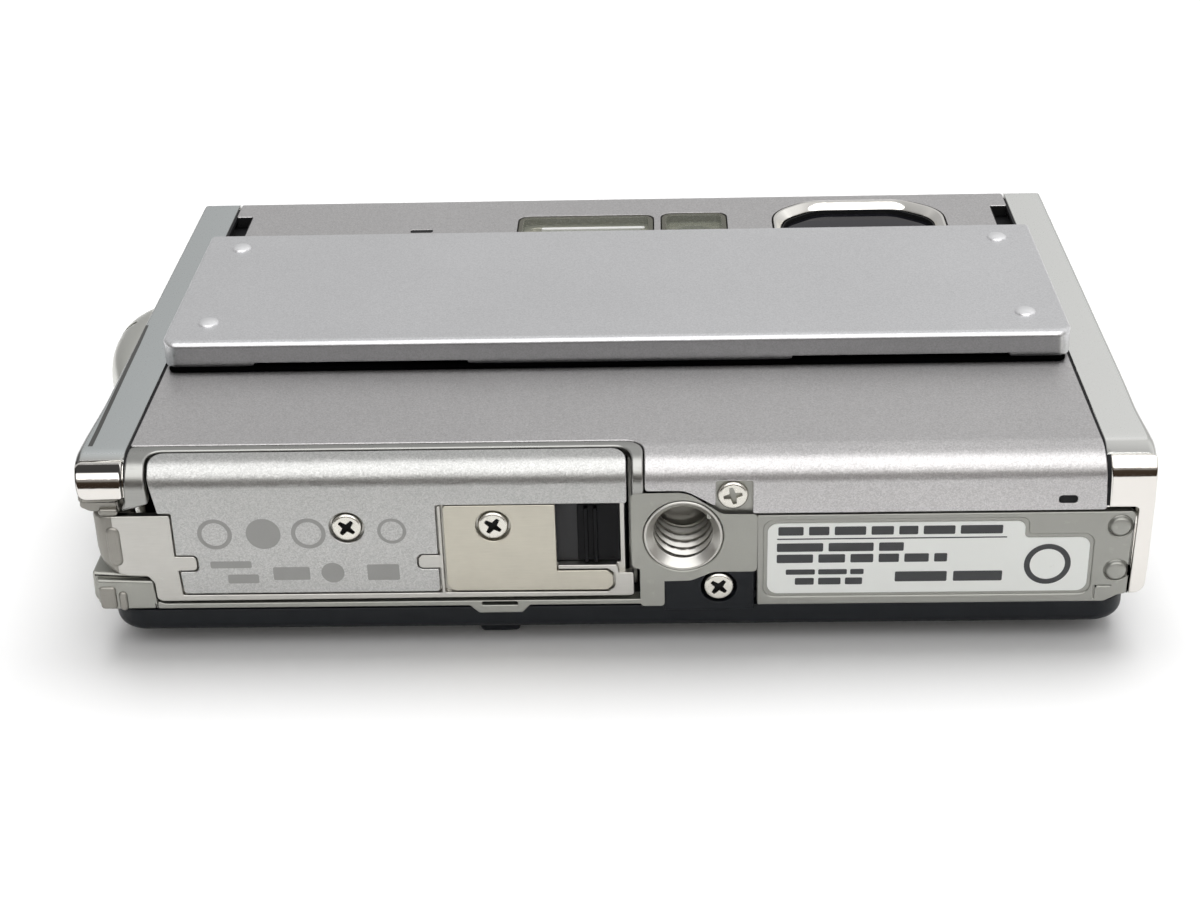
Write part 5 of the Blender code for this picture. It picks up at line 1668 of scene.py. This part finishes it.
def make_rocker():
    """Zoom rocker, dished in the middle."""
    bm = new_shape()
    plate(bm, "Y", rectangle(*ROCKER.xz(), 0.8), 7.7, 10.1, soft=(0.05, 0.35), steps=5)
    for vert in bm.verts:
        if vert.co.y > 9.0:
            vert.co.y -= 0.3 * math.exp(-((vert.co.x - ROCKER.x) / 4.0) ** 2)
    piece(bm, "rocker_bar", CASE_PLASTIC, ("zoom_rocker",), body="rocker")


# ------------------------------------------------------------ pieces that keep their CAD shape


def dress_cad_nodes():
    looks = {
        "cover_shoe_left": BLACK, "cover_shoe_right": BLACK, "lens_housing": DARK, "lens_prism": OPTIC,
        "image_sensor": BOARD_MASK, "zoom_lens_group": DARK, "compensator_lens_group": DARK,
        "focus_lens_group": DARK, "lcd_panel": BLACK, "pad_carrier": BLACK, "hinge_pin": STEEL,
        "card_socket": STEEL, "main_board": BOARD_MASK, "flash_capacitor": BLACK, "speaker": DARK,
        "microphone": STEEL, "port_hinge_pin": STEEL, "port_connector": STEEL,
    }
    for node, material in looks.items():
        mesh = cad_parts[node].data
        mesh.materials.clear()
        mesh.materials.append(material)


# ------------------------------------------------------------ stage, light and camera


CAMERA_AT = Vector((4.27, -90.88, -154.27))
CAMERA_RIGHT = Vector((0.99948, 0.02472, 0.02054))
CAMERA_UP = Vector((0.01213, -0.88197, 0.47116))
LENS = 62.65


def make_camera():
    data = bpy.data.cameras.new("view")
    data.lens = LENS
    data.sensor_width = 36.0
    data.clip_start, data.clip_end = 0.005, 20.0
    obj = bpy.data.objects.new("view", data)
    back = CAMERA_RIGHT.cross(CAMERA_UP).normalized()
    turn = Matrix((CAMERA_RIGHT, CAMERA_UP, back)).transposed().to_4x4()
    obj.matrix_world = Matrix.Translation(CAMERA_AT * MM + ORIGIN) @ turn
    bpy.context.scene.collection.objects.link(obj)
    bpy.context.scene.camera = obj
    return obj


def floor_material(name, camera, expression):
    """Matt white that takes part only while the expression on the camera's height holds."""
    made = bpy.data.materials.new(name)
    made.use_nodes = True
    shader = made.node_tree.nodes["Principled BSDF"]
    shader.inputs["Base Color"].default_value = (0.93, 0.93, 0.93, 1)
    shader.inputs["Roughness"].default_value = 0.6
    shader.inputs["Specular IOR Level"].default_value = 0.2
    alpha = shader.inputs["Alpha"].driver_add("default_value").driver
    alpha.type = "SCRIPTED"
    height = alpha.variables.new()
    height.name = "height"
    height.type = "TRANSFORMS"
    height.targets[0].id = camera
    height.targets[0].transform_type = "LOC_Z"
    height.targets[0].transform_space = "WORLD_SPACE"
    alpha.expression = expression
    return made


def make_floor(name, corners, material):
    bm = bmesh.new()
    bm.faces.new([bm.verts.new(c) for c in corners])
    mesh = bpy.data.meshes.new(name)
    bm.to_mesh(mesh)
    bm.free()
    mesh.materials.append(material)
    obj = bpy.data.objects.new(name, mesh)
    bpy.context.scene.collection.objects.link(obj)


def make_stage(camera):
    """A table that the camera lies on by its back, seen from below, and a floor that it stands on."""
    reach, near, gap = 4.0, -0.052, 0.00005
    y = cad_high.y + gap
    lying = floor_material("lying_floor_white", camera, "1 if height < 0 else 0")
    corners = [(-reach, y, near), (reach, y, near), (reach, y, reach), (-reach, y, reach)]
    make_floor("lying_floor", corners, lying)
    z = cad_low.z - gap
    standing = floor_material("standing_floor_white", camera, "0 if height < 0 else 1")
    corners = [(-reach, -reach, z), (reach, -reach, z), (reach, reach, z), (-reach, reach, z)]
    make_floor("standing_floor", corners, standing)


def area_light(name, at, size, strength, matt=True, glossy=True):
    """Soft box facing the camera body; the strength is its brightness as seen in a mirror."""
    data = bpy.data.lights.new(name, "AREA")
    data.shape = "RECTANGLE"
    data.size, data.size_y = size
    data.energy = strength * math.pi * size[0] * size[1]
    obj = bpy.data.objects.new(name, data)
    obj.location = Vector(at)
    obj.rotation_euler = (Vector((0, 0, 0.03)) - Vector(at)).to_track_quat("-Z", "Y").to_euler()
    obj.visible_camera = False
    obj.visible_diffuse = matt
    obj.visible_glossy = glossy
    bpy.context.scene.collection.objects.link(obj)


# Brightness round the x axis: share of a turn from the viewer's horizon, through the floor, and back.
ROOM = (
    (0.0, (0.05, 0.035, 0.025)), (0.07, (0.04, 0.03, 0.02)), (0.16, (0.25, 0.23, 0.21)),
    (0.25, (0.62, 0.62, 0.62)), (0.42, (0.72, 0.72, 0.72)), (0.5, (0.55, 0.55, 0.55)),
    (0.58, (0.66, 0.66, 0.66)), (0.66, (0.9, 0.9, 0.9)), (0.75, (0.75, 0.75, 0.75)),
    (0.85, (0.5, 0.5, 0.5)), (0.965, (0.4, 0.38, 0.36)), (0.98, (0.06, 0.045, 0.03)),
    (1.0, (0.05, 0.035, 0.025)),
)


def make_world():
    """White for the camera; for the rest a room that changes round the x axis, brighter on the right."""
    world = bpy.data.worlds.new("studio")
    world.use_nodes = True
    tree = world.node_tree
    link = tree.links.new

    def calculate(operation, first, second):
        node = tree.nodes.new("ShaderNodeMath")
        node.operation = operation
        for socket, value in zip(node.inputs, (first, second)):
            if isinstance(value, float):
                socket.default_value = value
            else:
                link(value, socket)
        return node.outputs["Value"]

    coords = tree.nodes.new("ShaderNodeTexCoord")
    split = tree.nodes.new("ShaderNodeSeparateXYZ")
    link(coords.outputs["Generated"], split.inputs["Vector"])
    angle = calculate("ARCTAN2", calculate("MULTIPLY", split.outputs["Y"], -1.0), split.outputs["Z"])
    turn = calculate("ADD", calculate("DIVIDE", angle, math.tau), 0.5)
    ramp = tree.nodes.new("ShaderNodeValToRGB")
    while len(ramp.color_ramp.elements) < len(ROOM):
        ramp.color_ramp.elements.new(0.5)
    for element, (position, color) in zip(ramp.color_ramp.elements, ROOM):
        element.position = position
        element.color = (*color, 1)
    link(turn, ramp.inputs["Fac"])
    seen = tree.nodes.new("ShaderNodeLightPath")
    mix = tree.nodes.new("ShaderNodeMix")
    mix.data_type = "RGBA"
    link(seen.outputs["Is Camera Ray"], mix.inputs[0])
    link(ramp.outputs["Color"], mix.inputs[6])
    mix.inputs[7].default_value = (1, 1, 1, 1)
    background = tree.nodes["Background"]
    link(mix.outputs[2], background.inputs["Color"])
    sideways = calculate("ADD", calculate("MULTIPLY", split.outputs["X"], 0.4), 1.0)
    steady = calculate("MAXIMUM", seen.outputs["Is Camera Ray"], sideways)
    link(steady, background.inputs["Strength"])
    bpy.context.scene.world = world


def make_light():
    make_world()
    area_light("viewer_box", (0.05, -0.64, -0.62), (1.4, 0.95), 1.9, matt=False)
    area_light("overhead_key", (0.05, -0.75, 0.33), (0.8, 0.5), 4.2, glossy=False)
    area_light("viewer_fill", (0.05, -0.12, -0.9), (1.2, 0.5), 0.7, glossy=False)
    area_light("top_box", (0.1, 0.5, 0.75), (0.8, 0.6), 2.2)
    area_light("side_box", (-0.8, 0.35, 0.35), (0.5, 0.6), 1.6, glossy=False)
    bpy.context.scene.view_settings.view_transform = "Standard"


# ------------------------------------------------------------ assembly


make_front_panel()
make_backing()
make_lens()
make_window(FLASH, "flash_window", "flash_pane")
make_window(LAMP, "lamp_window", "lamp_pane")
make_flash()
make_lamp()
make_cover()
make_trims()
make_corner_caps()
make_trim_groove()
make_strap_lug()
make_port_cover()
make_rim()
make_land()
make_socket()
make_bottom_plate()
make_label()
make_edge_strip()
make_hinge_lugs()
make_screws()
make_door_skin()
make_door_marks()
make_door_frame()
make_barrel()
make_latch()
make_slider()
make_seal()
make_bay()
make_battery_and_card()
make_top()
make_top_button(SHUTTER, "shutter_cap", "shutter_button", "shutter_key", *SHUTTER_DEPTHS)
make_top_button(POWER, "power_cap", "power_button", "power_key", *POWER_DEPTHS)
make_case()
make_screen()
make_keys()
make_dial()
make_pad()
make_rocker()
dress_cad_nodes()
view_camera = make_camera()
make_stage(view_camera)
make_light()
